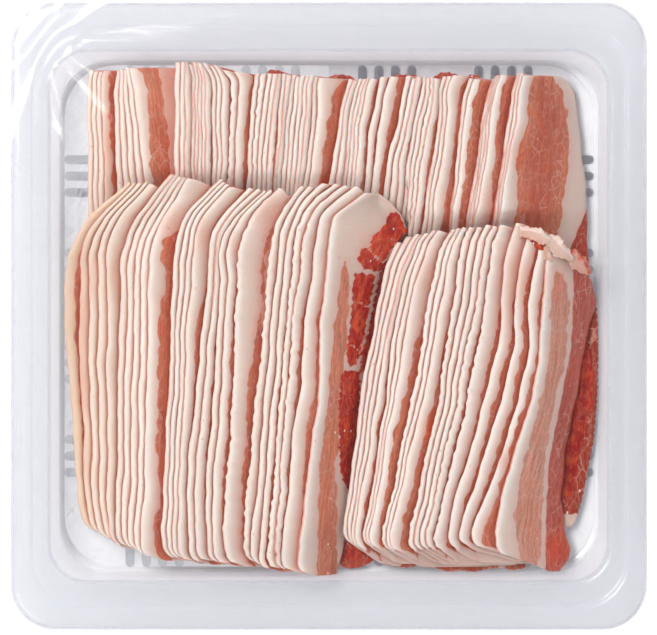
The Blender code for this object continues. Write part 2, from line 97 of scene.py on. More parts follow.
def gridQuads(rows, columns, closed=False):
    # quads of a grid of points numbered row by row; closed joins the last column to the first
    r = np.arange(rows - 1)[:, None]
    c = np.arange(columns if closed else columns - 1)[None, :]
    nextC = (c + 1) % columns
    corners = (r * columns + c, r * columns + nextC, (r + 1) * columns + nextC, (r + 1) * columns + c)
    return np.stack(corners, axis=-1).reshape(-1, 4)


def tubeQuads(rows, around):
    # quads of a tube of rings, and two caps that join each half ring to the other, k to around - 1 - k
    k = np.arange(around // 2 - 1)
    cap = np.stack([k, k + 1, around - 2 - k, around - 1 - k], axis=-1)
    return gridQuads(rows, around, closed=True), cap, cap[:, ::-1] + (rows - 1) * around


def joined(bodies):
    # several (points, quads) into one
    starts = np.cumsum([0] + [len(points) for points, _ in bodies])
    quads = [quads + start for (_, quads), start in zip(bodies, starts)]
    return np.concatenate([points for points, _ in bodies]), np.concatenate(quads)


def nodeTools(tree):
    # short ways to add nodes; an input may be a value or the socket that feeds it
    def add(kind, inputs=None, **settings):
        node = tree.nodes.new(kind)
        for key, value in settings.items():
            setattr(node, key, value)
        for key, value in (inputs or {}).items():
            if isinstance(value, bpy.types.NodeSocket):
                tree.links.new(value, node.inputs[key])
            else:
                node.inputs[key].default_value = value
        return node

    def maths(operation):
        def made(first, second=0.0, clamp=False):
            node = add("ShaderNodeMath", {0: first, 1: second}, operation=operation, use_clamp=clamp)
            return node.outputs[0]
        return made

    def step(value, low, high):
        # 0 at low, 1 at high, smooth between
        node = add("ShaderNodeMapRange", {"Value": value, "From Min": low, "From Max": high},
                   interpolation_type="SMOOTHSTEP")
        return node.outputs["Result"]

    def mix(amount, first, second):
        return add("ShaderNodeMix", {0: amount, 6: first, 7: second}, data_type="RGBA").outputs[2]

    return SimpleNamespace(add=add, step=step, mix=mix, times=maths("MULTIPLY"), plus=maths("ADD"),
                           minus=maths("SUBTRACT"), most=maths("MAXIMUM"), least=maths("MINIMUM"))


def newMaterial(name):
    material = bpy.data.materials.new(name)
    material.use_nodes = True
    material.node_tree.nodes.clear()
    return material, nodeTools(material.node_tree)


def srgb(red, green, blue):
    # display values 0..255 into linear colour
    values = np.array([red, green, blue]) / 255
    linear = np.where(values <= 0.04045, values / 12.92, ((values + 0.055) / 1.055) ** 2.4)
    return (*[float(v) for v in linear], 1.0)


# the camera hangs straight over the pack

cameraSetup = {
    "height": 5.0,       # metres above the table, straight over the pack
    "viewWidth": 0.3055, # metres of the lid's plane across the picture
    "centre": (-0.0002, -0.0007),
}


def addCamera(setup):
    lens = bpy.data.cameras.new("overheadLens")
    lens.sensor_width = 36
    lens.lens = 36 * (setup["height"] - cadBox[1][2]) / setup["viewWidth"]
    lens.clip_end = 10
    camera = bpy.data.objects.new("overheadCamera", lens)
    camera.location = (*setup["centre"], setup["height"])
    bpy.context.scene.collection.objects.link(camera)
    bpy.context.scene.camera = camera


addCamera(cameraSetup)
print("camera placed")


# raw belly: fat, lean and the marks in them

def lit(red, green, blue):
    # the paint that shows as this display colour under lamps a quarter brighter than white needs
    return (*[0.8 * value for value in srgb(red, green, blue)[:3]], 1.0)


meatLook = {
    # painted highlight: the fat's colour on the slices' ridges, lighter than its body
    "fatRidgeHighlight": lit(258, 251, 243),
    "fatBody": lit(231, 211, 198),
    "fatPink": lit(229, 188, 176),
    "fatYellow": lit(240, 205, 164),
    "leanFaint": lit(216, 158, 138),
    "leanRose": lit(194, 96, 80),
    "leanPale": lit(214, 128, 96),
    "leanRed": lit(188, 66, 38),
    "leanDark": lit(184, 22, 4),
    "leanOrange": lit(222, 80, 34),
    "seam": lit(232, 180, 162),
    "speck": lit(205, 140, 96),
    "dot": lit(255, 236, 224),
    # painted shade: the colour laid in the creases between slices
    "creaseShade": lit(226, 148, 130),
    "blush": lit(228, 152, 120),
    "warp": 1.2,          # mm that the fat line wanders
    "fineWarp": 0.4,      # mm of small raggedness on it
    "lumps": 2.2,         # how far the lean swells into lobes
    "roughness": 0.42,
    "coat": 0.14,
    "coatRoughness": 0.2,
    "specular": 0.22,
    "subsurface": 0.75,
    "lightReach": (1.0, 0.45, 0.3),  # share of the depth that red, green and blue light get to
    "lightDepth": 0.0014,            # m
    "bump": 0.35,
    "bumpDepth": 0.0006,             # m
}


def meatPattern():
    # Place (mm in from the edge, mm along, seed) and the bands' depths in mm into masks and noises
    group = bpy.data.node_groups.new("bellyPattern", "ShaderNodeTree")
    asked = {"Place": "Vector", "Bands": "Vector", "Warp": "Float", "Fine Warp": "Float", "Lumps": "Float"}
    for name, kind in asked.items():
        group.interface.new_socket(name=name, in_out="INPUT", socket_type="NodeSocket" + kind)
    n = nodeTools(group)
    given = n.add("NodeGroupInput").outputs
    place = given["Place"]
    shallow, deep, second = n.add("ShaderNodeSeparateXYZ", {"Vector": given["Bands"]}).outputs

    def spread(scales):
        return n.add("ShaderNodeVectorMath", {0: place, 1: scales}, operation="MULTIPLY").outputs[0]

    def noise(scales, detail=2.0, rough=0.5):
        made = n.add("ShaderNodeTexNoise", {"Vector": spread(scales), "Scale": 1.0, "Detail": detail,
                                            "Roughness": rough})
        return made.outputs["Fac"]

    def cells(at, feature):
        made = n.add("ShaderNodeTexVoronoi", {"Vector": at, "Scale": 1.0}, feature=feature)
        return made.outputs["Distance"]

    def pushed(scales, size):
        # the drawn-out place, pushed about by noise
        at = spread(scales)
        jitter = n.add("ShaderNodeTexNoise", {"Vector": at, "Scale": 1.6, "Detail": 2.0}).outputs["Color"]
        moved = n.add("ShaderNodeVectorMath", {0: jitter, 1: (size,) * 3, 2: at}, operation="MULTIPLY_ADD")
        return moved.outputs[0]

    def swing(value, size):
        return n.times(n.times(n.minus(value, 0.5), size), 2.0)

    def netOf(scales, size, low, high):
        # 1 on the borders between cells, fading over low to high
        return n.minus(1.0, n.step(cells(pushed(scales, size), "DISTANCE_TO_EDGE"), low, high))

    lobes = cells(pushed((0.22, 0.15, 1.0), 0.4), "F1")
    wander = n.plus(swing(noise((0.10, 0.05, 1.0)), given["Warp"]),
                    swing(noise((0.9, 0.42, 1.0), 3.0, 0.6), given["Fine Warp"]))
    wander = n.plus(wander, n.times(n.minus(0.45, lobes), given["Lumps"]))
    first = n.plus(n.least(shallow, deep), wander)
    second = n.plus(second, n.times(wander, 0.5))
    results = {
        "Lean": n.step(first, -0.25, 0.45),
        "Second Lean": n.step(second, -0.25, 0.35),
        "Near Lean": n.step(n.most(first, second), -4.0, 0.0),
        "Depth": n.step(first, 0.5, 8.0),
        "Marbling": n.times(netOf((0.22, 0.15, 1.0), 0.4, 0.008, 0.07),
                            n.step(noise((0.13, 0.06, 1.0)), 0.46, 0.6)),
        "Fine Marbling": n.times(netOf((0.46, 0.24, 1.0), 0.7, 0.01, 0.16),
                                 n.step(noise((0.3, 0.12, 1.0)), 0.4, 0.65)),
        "Speck": n.step(noise((0.5, 0.36, 1.3), 1.0), 0.75, 0.79),
        "Dot": n.minus(1.0, n.step(cells(spread((0.2, 0.14, 1.0)), "F1"), 0.06, 0.1)),
        "Mottle": noise((0.10, 0.035, 1.0)),
        "Blotch": noise((0.34, 0.2, 1.0), 2.0, 0.6),
        "Grain": noise((1.6, 0.55, 1.0), 3.0, 0.65),
        "Streak": noise((1.1, 0.05, 1.0), 2.0, 0.6),
    }
    for name in results:
        group.interface.new_socket(name=name, in_out="OUTPUT", socket_type="NodeSocketFloat")
    n.add("NodeGroupOutput", results)
    return group


def meatMaterial(name, look, pattern):
    material, n = newMaterial(name)

    def read(label):
        return n.add("ShaderNodeAttribute", attribute_name=label).outputs["Vector"]

    yellow, red, dark = n.add("ShaderNodeSeparateXYZ", {"Vector": read("tone")}).outputs
    # shade attribute: painted crease shade, blush, and painted ridge highlight
    creaseShadeMask, blushed, ridgeHighlightMask = n.add("ShaderNodeSeparateXYZ", {"Vector": read("shade")}).outputs
    marks = n.add("ShaderNodeGroup", {"Place": read("place"), "Bands": read("bands"), "Warp": look["warp"],
                                      "Fine Warp": look["fineWarp"], "Lumps": look["lumps"]},
                  node_tree=pattern).outputs
    mottle, blotch, grain, streak = (marks[label] for label in ("Mottle", "Blotch", "Grain", "Streak"))

    # fat: pink beside the lean, a painted highlight along its ridges, yellowed and blushed where the slice
    # says so, painted shade in its creases, and brown specks
    fat = n.mix(n.times(marks["Near Lean"], 0.65), look["fatBody"], look["fatPink"])
    fat = n.mix(n.times(streak, 0.4), fat, look["fatPink"])
    fat = n.mix(n.times(ridgeHighlightMask, n.plus(mottle, 0.55), True), fat, look["fatRidgeHighlight"])
    fat = n.mix(n.times(yellow, n.plus(mottle, 0.4), True), fat, look["fatYellow"])
    fat = n.mix(n.times(blushed, mottle), fat, look["blush"])
    fat = n.mix(n.times(creaseShadeMask, n.plus(mottle, 0.35), True), fat, look["creaseShade"])
    fat = n.mix(n.times(marks["Speck"], 0.5), fat, look["speck"])

    # lean: from faint to red by the slice's tone and the depth, and a dark second lean
    redness = n.plus(mottle, n.minus(red, 0.5))
    redness = n.plus(redness, n.times(n.minus(marks["Depth"], 0.3), 0.45))
    faint = n.times(redness, -1.0, True)
    lean = n.mix(n.plus(redness, 0.0, True), look["leanPale"], look["leanRed"])
    lean = n.mix(faint, lean, look["leanFaint"])
    deep = n.mix(n.step(blotch, 0.42, 0.66), look["leanDark"], look["leanOrange"])
    second = n.mix(dark, n.mix(faint, look["leanRed"], look["leanRose"]), deep)
    lean = n.mix(marks["Second Lean"], lean, second)
    lean = n.mix(n.times(blushed, 0.6, True), lean, look["leanOrange"])
    fibres = n.plus(n.times(n.minus(grain, 0.5), 0.8), n.times(n.minus(streak, 0.5), 1.2))
    base = n.minus(1.0, n.times(n.minus(dark, 1.0, True), 0.7))
    lean = n.add("ShaderNodeHueSaturation", {"Value": n.plus(fibres, base), "Color": lean}).outputs["Color"]
    plain = n.minus(1.0, n.times(n.times(dark, marks["Second Lean"]), 0.6))
    lean = n.mix(n.times(n.times(marks["Fine Marbling"], 0.26), plain), lean, look["seam"])
    lean = n.mix(n.times(n.times(marks["Marbling"], 0.5), plain), lean, look["seam"])
    lean = n.mix(n.times(marks["Dot"], n.plus(dark, 0.3), True), lean, look["dot"])
    # painted shade: lean turned redder in the creases between slices
    lean = n.mix(n.times(creaseShadeMask, 0.45), lean, look["leanRed"])

    anyLean = n.most(marks["Lean"], marks["Second Lean"])
    relief = n.plus(n.plus(n.times(grain, 0.6), n.times(anyLean, -0.35)), n.times(blotch, 0.8))
    bump = n.add("ShaderNodeBump", {
        "Strength": look["bump"], "Distance": look["bumpDepth"], "Height": relief,
    })
    shader = n.add("ShaderNodeBsdfPrincipled", {
        "Base Color": n.mix(anyLean, fat, lean), "Normal": bump.outputs["Normal"],
        "Roughness": look["roughness"], "Specular IOR Level": look["specular"],
        "Coat Weight": look["coat"], "Coat Roughness": look["coatRoughness"],
        "Subsurface Weight": look["subsurface"], "Subsurface Radius": look["lightReach"],
        "Subsurface Scale": look["lightDepth"]})
    n.add("ShaderNodeOutputMaterial", {"Surface": shader.outputs[0]})
    return material


meatFinish = meatMaterial("rawBelly", meatLook, meatPattern())
print("meat material ready")


# piles of slices

sliceMake = {
    "rise": 2.6,          # mm straight up from one slice to the next
    "gap": 0.08,          # mm left between neighbours, square to them
    "lift": 0.5,          # mm that each slice of a bundle stands above the one before
    "width": 37.0,        # mm across a slice as it leans
    "stationGap": 2.0,    # mm between cross-sections
    "edgeRound": 1.1,     # mm over which a slice's ends round off
    "bulge": 0.16,        # how far an edge swells up, as a share of its visible width
    "wobble": 0.35,       # share of the large waves
    "fineWobble": 0.07,   # mm of small unevenness
    "frayed": 0.30,       # mm, on the few edges that are torn
    "floor": 2.65,        # the top of the ribs
    "thickest": 1.95,
    "rampSlices": 10,     # slices over which a pile climbs to its full height
    "stackStep": 1.1,     # mm that the first slices rise over one another on the slope
    "flankSteps": 8,      # lines down the last slice's side
    "seed": 11,
}

# how far out each cross-section's nose reaches, and how thick it is there
noseShape = ((-0.62, 0.22), (-0.52, 0.55), (-0.22, 0.86))

# Each pile: how many slices every bundle holds; each given slice's fat edge as x at the levels (y);
# where the slices' near and far ends lie (front, back); how wide the fat at the edge is along y
# (caps); and the tone (yellow, red).
leftPile = {
    "name": "left",
    "bundles": (5, 5, 4, 2, 2, 1, 5, 1, 1),
    "levels": (61, 54, 47, 38, 28, 17, -2, -30, -58, -86, -100, -111),
    "edges": {
        0: (-95, -103, -111, -117, -122.5, -123, -123, -121.5, -119, -117, -114, -110),
        1: (-92, -99, -106.5, -112.5, -116, -116, -116, -116, -114.5, -113.5, -110.5, -107.5),
        4: (-84, -91, -96.5, -101.5, -103.5, -103.5, -103, -103, -103, -103, -102, -100.5),
        5: (-77, -83, -89, -93.5, -96.5, -96.5, -97.5, -98, -98.5, -99, -99.5, -98),
        9: (-67, -71, -76.5, -80.5, -83, -83.5, -84, -84.5, -85, -86, -87, -87),
        10: (-53, -60, -66.5, -70.5, -72, -72, -73, -74, -75.5, -77, -78, -76),
        13: (-45, -52, -58, -62, -63, -63.5, -65.5, -66.5, -68, -69.5, -70.5, -69.5),
        14: (-35.5, -42.5, -49.5, -54, -56, -56.5, -58, -61, -64, -66, -65.5, -65),
        15: (-31, -39, -46, -50.5, -52, -52.5, -54.5, -57, -60.5, -62, -62, -61.5),
        16: (-27.5, -35, -43, -48.5, -51, -50.5, -51.5, -52.5, -55.5, -57, -56.5, -56.5),
        17: (-24.5, -33, -40, -45, -47, -46.5, -48.5, -49, -52, -53.5, -53.5, -53.5),
        18: (-21, -29.5, -36, -39.5, -41.5, -42, -43.5, -43.5, -46, -48, -48.5, -48),
        19: (-11, -18, -23, -26.5, -27.5, -28, -30, -32.5, -35.5, -38.5, -39, -38.5),
        20: (-7.5, -14.5, -19, -22.5, -23, -24, -26.5, -29, -31, -33.5, -35.5, -35.5),
        21: (-3.5, -10.5, -15.5, -18.5, -20.5, -20.5, -23, -25, -27.5, -30, -31, -31.5),
        22: (2, -6.5, -11.5, -15.5, -16.5, -17, -19, -22, -23.5, -26, -27.5, -28),
        23: (7.5, -2, -7.5, -11.5, -12.5, -13.5, -16, -18.5, -20.5, -23, -24, -24),
        24: (13, 3.5, -3, -5.5, -7, -7.5, -10.5, -12.5, -16.5, -19, -21, -21.5),
        25: (21.5, 13, 3.5, 1, -0.5, -1, -3, -3.5, -6.5, -10.5, -12.5, -13.5),
    },
    "front": {0: -99, 2: -103, 4: -106.5, 5: -107, 7: -108.5, 9: -111.5, 13: -113, 18: -115, 19: -114.5,
              21: -117, 23: -117.5, 25: -119},
    "back": {0: 63, 4: 62, 5: 66, 9: 64.5, 10: 64, 13: 60, 14: 59, 18: 59.5, 19: 60, 21: 61.5, 24: 61,
             25: 57.5},
    "firstHeight": 0.25, "slope": 0.47, "slopeFoot": 10.0,
    "farSpread": ((0,), (2.0,)), "frontSlant": 0.30, "slantReach": 8.0, "endJitter": 1.0, "fatEnds": 0.3,
    "capWidth": 8.0,
    "caps": {
        0: ((-90, 60), (4.2, 4.4)),
        9: ((-98, -80, -60, -2, 15, 22, 30, 36, 44), (6.0, 6.4, 5.0, 4.0, 7.5, 6.4, 3.6, 3.4, 12.0)),
        13: ((-98, -60, -45, -2, 12, 20), (6.0, 4.4, 3.6, 3.6, 6.4, 7.0)),
        15: ((-98, -58, -20, 20), (5.6, 3.8, 3.4, 6.5)),
        17: ((-105, -86, -58, -20, 15, 40), (5.6, 4.2, 4.0, 3.4, 3.4, 7.0)),
        18: ((-100, -86, -58, -30, -2, 17, 28, 40, 48), (9.2, 7.5, 6.4, 6.0, 11.0, 11.6, 10.8, 10.0, 12.0)),
        21: ((-90, -30, 0), (2.5, 2.6, 4.0)), 22: ((-111, -86, -58, -30, -2), (4.6, 4.2, 3.4, 2.4, 4.0)),
        23: ((-111, -100, -86, -58, -30, -2, 10), (2.6, 2.4, 2.6, 3.6, 3.2, 3.6, 6.0)),
        24: ((-111, -86, -58, -30, -2, 12), (8.0, 6.4, 5.8, 5.6, 5.2, 7.5)),
    },
    "ends": {}, "frayed": (18, 19, 22, 23), "kinked": {},
    "tone": {0: (0.7, 0.15), 1: (0.38, 0.2), 4: (0.2, 0.2), 6: (0.06, 0.3), 25: (0.05, 0.3)},
}
rightPile = {
    "name": "right",
    "bundles": (4, 3, 3, 4, 1, 1, 1, 1, 1),
    "levels": (41, 35, 24, 7, -13, -39, -62, -86, -100, -111),
    "edges": {
        0: (38.5, 32, 27.5, 23.5, 19.5, 15, 12, 9.5, 7.5, 7.5),
        3: (46, 40.5, 36, 31.5, 26.5, 23, 19, 15, 13, 13),
        4: (47.5, 42, 38, 34, 29, 27.5, 23, 20, 17, 16.5),
        6: (52.5, 47.5, 43, 39, 35, 31, 26.5, 23, 20, 19),
        7: (58.5, 54, 50, 47, 44, 39, 34, 29, 25.5, 26.5),
        9: (63, 59, 55.5, 53, 49.5, 44.5, 38.5, 32.5, 29.5, 29),
        10: (66.5, 63, 60.5, 58.5, 55.5, 51.5, 46.5, 41.5, 38, 36.5),
        13: (76.5, 74, 71.5, 69.5, 65, 60.5, 55, 50, 46, 44),
        14: (80, 77.5, 75.5, 73, 70, 65, 59.5, 54, 50, 48),
        15: (87, 84.5, 82.5, 81, 79.5, 73, 66.5, 59.5, 56, 55.5),
        16: (93.5, 92, 89.5, 87.5, 86.5, 81.5, 73.5, 66.5, 61.5, 60),
        17: (100.5, 98.5, 96.5, 93.5, 94, 89, 82, 73, 67.5, 66.5),
        18: (107.5, 103, 101.5, 100.5, 99.5, 95.5, 88, 80.5, 79, 79),
    },
    "front": {0: -107, 3: -108, 6: -108.5, 9: -108, 13: -109, 14: -108, 15: -107.5, 16: -106.5, 17: -108.5,
              18: -112},
    "back": {0: 35, 2: 38, 4: 39, 8: 41, 13: 42, 15: 43.5, 16: 39, 17: 31, 18: 28},
    "firstHeight": 0.6, "slope": 0.72, "slopeFoot": 12.0,
    "farSpread": ((0,), (1.0,)), "frontSlant": 0.50, "slantReach": 17.0, "endJitter": 1.9, "fatEnds": 1.0,
    "capWidth": 8.0,
    "caps": {
        3: ((-110, -62, -39, -13), (2.6, 2.6, 3.2, 3.8)), 2: ((-80, -60), (2.4, 2.6)),
        6: ((-111, -100, -86, -62, -39, -13, -2, 4), (4.6, 3.4, 2.2, 2.2, 3.4, 5.2, 8.0, 11.0)),
        9: ((-108, -86, -62, -50, -39, -13, 0), (4.2, 3.8, 3.4, 4.2, 4.0, 4.0, 6.5)),
        13: ((-80, -62, -39, -13, 10), (3.4, 3.0, 3.0, 3.6, 5.0)),
        14: ((-100, -86, -62, -39, -13, 7, 24), (4.6, 4.2, 5.2, 5.8, 6.4, 7.4, 8.5)),
        15: ((-100, -86, -62, -39, -13, 7, 24), (5.5, 4.4, 4.2, 4.0, 5.0, 5.6, 6.8)),
        16: ((-100, -86, -62, -39, -13, 7, 24), (4.6, 4.0, 4.2, 3.8, 2.8, 3.4, 5.0)),
        17: ((-111, -100, -86, -62, -39, -13, 7, 22), (4.4, 4.0, 4.0, 2.0, 2.8, 3.4, 4.4, 5.0)),
    },
    "ends": {}, "frayed": (7, 10, 13, 14), "kinked": {},
    "tone": {0: (0.0, 0.3), 18: (0.0, 0.45)},
}
backPile = {
    "name": "back",
    "bundles": (4, 5, 3, 5, 3, 2, 5, 2, 5, 2, 2, 4, 1, 1, 3, 4, 3, 2, 4, 3),
    "levels": (116, 112, 105, 91, 73, 54, 40),
    "edges": {
        0: (-111, -112, -112.5, -113, -112.5, -112, -112),
        3: (-104.5, -105.5, -105.5, -105.5, -105, -104.5, -104.5),
        4: (-99, -99, -99.5, -99.5, -99.5, -99, -99),
        8: (-93.5, -92, -90.5, -88.5, -86.5, -85, -84),
        9: (-71, -71, -71.5, -71.5, -71.5, -71, -71),
        11: (-66, -66, -66.5, -66.5, -66, -66, -66),
        12: (-63.5, -63, -63, -63.5, -63.5, -63, -63),
        16: (-58, -56.5, -56.5, -57, -57, -57, -57),
        17: (-56.5, -54, -53.5, -54, -54, -54, -54),
        19: (-52, -49.5, -49, -49.5, -49.5, -50, -50),
        20: (-47.5, -44.5, -45, -45.5, -46.5, -48, -49),
        21: (-43, -41, -41, -42, -43, -44, -45),
        22: (-33.5, -34, -35, -36, -37, -38.5, -39.5),
        26: (-23, -23.5, -24.5, -26, -27.5, -29, -30),
        27: (-20.5, -21.5, -22.5, -23, -24, -25.5, -26.5),
        29: (-15, -16.5, -18, -19.5, -20.5, -22, -23),
        33: (-6.5, -8, -9.5, -10.5, -11.5, -13.5, -15),
        35: (-2.5, -3.5, -4.5, -5.5, -7.5, -9.5, -11),
        36: (12, 10.5, 8.5, 5.5, 2, -1, -3.5),
        38: (16.5, 15.5, 12.5, 10, 8.5, 6.5, 5),
        41: (21, 20, 18, 15.5, 13.5, 11.5, 10),
        42: (25, 24, 23, 20.5, 18, 16.5, 15.5),
        43: (29.5, 28.5, 26.5, 24.5, 22, 20, 18.5),
        44: (38, 36.5, 34.5, 33, 28, 25.5, 23.5),
        47: (45, 44.5, 43.5, 40, 37.5, 35.5, 33.5),
        50: (50.5, 50, 50, 47, 44, 42, 40),
        51: (55.5, 54.5, 52.5, 51.5, 49, 46, 44),
        53: (60, 58.5, 56, 55.5, 53, 50, 48.5),
        54: (68, 66.5, 64.5, 62, 60, 58.5, 57),
        55: (70, 68.5, 66.5, 63.5, 61.5, 59.5, 58),
        56: (79, 77.5, 75, 73, 70, 66.5, 65),
        59: (82, 80.5, 78, 76, 74, 70, 68),
        60: (89.5, 88.5, 86, 84.5, 82, 78.5, 76.5),
        62: (92.5, 91, 89, 88, 85, 81, 79),
    },
    "front": {0: 24, 8: 22, 28: 20, 38: 18, 62: 26},
    "back": {0: 114.5, 3: 115, 8: 115.5, 9: 118, 12: 118.3, 16: 117.5, 17: 118, 19: 116.5, 20: 115.5,
             21: 113.5, 22: 113, 33: 112, 35: 111.5, 36: 110, 41: 111, 44: 111.5, 50: 111, 53: 112,
             55: 111, 59: 112.5, 62: 112.8},
    "firstHeight": 0.25, "slope": 0.0, "slopeFoot": 0.0,
    "farSpread": ((8, 9, 12, 20, 22), (0.0, 1.0, 2.4, 2.4, 0.5)), "frontSlant": 0.0, "slantReach": 0.0,
    "endJitter": 1.0, "fatEnds": 0.0,
    "capWidth": 7.5,
    "caps": {
        3: ((20, 115), (3.0, 3.0)), 8: ((50, 73, 91, 105, 112, 115), (2.8, 3.2, 4.2, 6.0, 4.6, 3.0)),
        11: ((20, 115), (2.2, 2.4)), 16: ((20, 115), (2.0, 2.2)), 19: ((20, 90, 115), (2.6, 3.0, 3.8)),
        21: ((54, 73, 91, 105, 110), (3.2, 3.4, 3.4, 4.8, 6.6)), 26: ((20, 115), (2.0, 2.2)),
        33: ((20, 115), (2.8, 2.8)), 35: ((54, 73, 91, 104, 110), (3.2, 3.6, 4.4, 6.2, 11.0)),
        37: ((20, 115), (3.4, 3.4)), 41: ((50, 73, 91, 112), (2.2, 2.2, 2.8, 3.4)),
        42: ((50, 112), (2.8, 3.4)),
        43: ((50, 73, 91, 105, 112), (3.0, 3.4, 4.2, 4.6, 3.4)), 46: ((45, 112), (2.4, 2.6)),
        50: ((45, 73, 90, 106), (2.4, 2.2, 2.2, 4.0)),
        53: ((40, 73, 91, 106, 112), (3.0, 4.4, 4.0, 4.8, 7.5)),
        55: ((40, 54, 73, 91, 106), (2.4, 1.8, 2.4, 2.6, 2.6)),
        59: ((40, 54, 62, 73, 91, 106), (6.6, 6.4, 4.2, 3.2, 2.4, 2.4)),
    },
    "ends": {8: 13.0}, "frayed": (20, 23, 49),
    "kinked": {12: -1.5, 15: -1.0, 17: -1.5, 20: -2.5, 21: -2.0},
    "tone": {0: (0.22, 0.1), 8: (0.08, 0.3), 26: (0.0, 0.25), 62: (0.0, 0.35)},
}

# right-hand outlines of the three last slices and how high their foot lies, by height up the pack
flanks = {
    "left": {"levels": (-119, -108, -100, -86, -62, -39, -13, 1, 7, 16, 24, 30, 35, 39, 47, 53, 58),
             "edge": (4.5, 7.5, 9.3, 11.2, 13.7, 16.7, 21.2, 23.9, 25.2, 27.3, 29.2, 31.5, 34, 37, 34,
                      29, 22),
             "foot": lambda y: 8.5 + 9 * smoothStep((y - 12) / 20)},
    "right": {"levels": (-119, -114, -109, -100, -86, -62, -39, -13, 7, 17, 24, 28),
              "edge": (109, 112.7, 113.8, 111, 108.9, 111.6, 115.8, 120.6, 125.4, 123, 116, 110),
              "foot": lambda y: 8.5 + 14 * smoothStep((y - 4) / 22)},
    "back": {"levels": (26, 54, 73, 91, 105, 110, 113),
             "edge": (121.8, 121, 119.3, 117.6, 114.8, 112, 108),
             "foot": lambda y: 6.0 + 0 * y},
}


def backHeight(share, y):
    start = 62 - 20 * smoothStep((share - 0.42) / 0.15)
    return 25 - 18 * smoothStep((start + 10 - y) / 48) - 4 * smoothStep((y - 105) / 14)


def leftHeight(share, y):
    return (25 + 7 * smoothStep((y + 4) / 48) - 4 * smoothStep((-98 - y) / 20)
            - 2 * smoothStep((y - 50) / 14) + 0 * share)


def rightHeight(share, y):
    return (25 + 7 * smoothStep((y + 14) / 44) - 4 * smoothStep((-100 - y) / 20)
            - 5 * smoothStep((y - 29) / 12) + 0 * share)


pileHeights = {"back": backHeight, "left": leftHeight, "right": rightHeight}
fineY = np.arange(-130.0, 131.0, 1.0)


def keyed(table, count):
    # one value a slice, straight between the slices that are given
    return np.interp(np.arange(count), list(table), list(table.values()))


def smoothLines(pile, count):
    # each slice's fat edge as x at every fineY: straight between the given slices and levels, then
    # eased over 9 mm
    levels = np.array(pile["levels"], float)[::-1]
    given = np.array([values[::-1] for values in pile["edges"].values()], float)
    numbers = np.arange(count)
    atLevels = np.array([np.interp(numbers, list(pile["edges"]), column) for column in given.T]).T
    low = (atLevels[:, 1] - atLevels[:, 0]) / (levels[1] - levels[0])
    high = (atLevels[:, -1] - atLevels[:, -2]) / (levels[-1] - levels[-2])
    kernel = np.hanning(11)[1:-1]
    kernel /= kernel.sum()
    lines = []
    for row, below, above in zip(atLevels, low, high):
        x = np.interp(fineY, levels, row)
        x = x + np.where(fineY < levels[0], (fineY - levels[0]) * below, 0)
        x = x + np.where(fineY > levels[-1], (fineY - levels[-1]) * above, 0)
        lines.append(np.convolve(np.pad(x, 4, mode="edge"), kernel, mode="valid"))
    return np.array(lines)


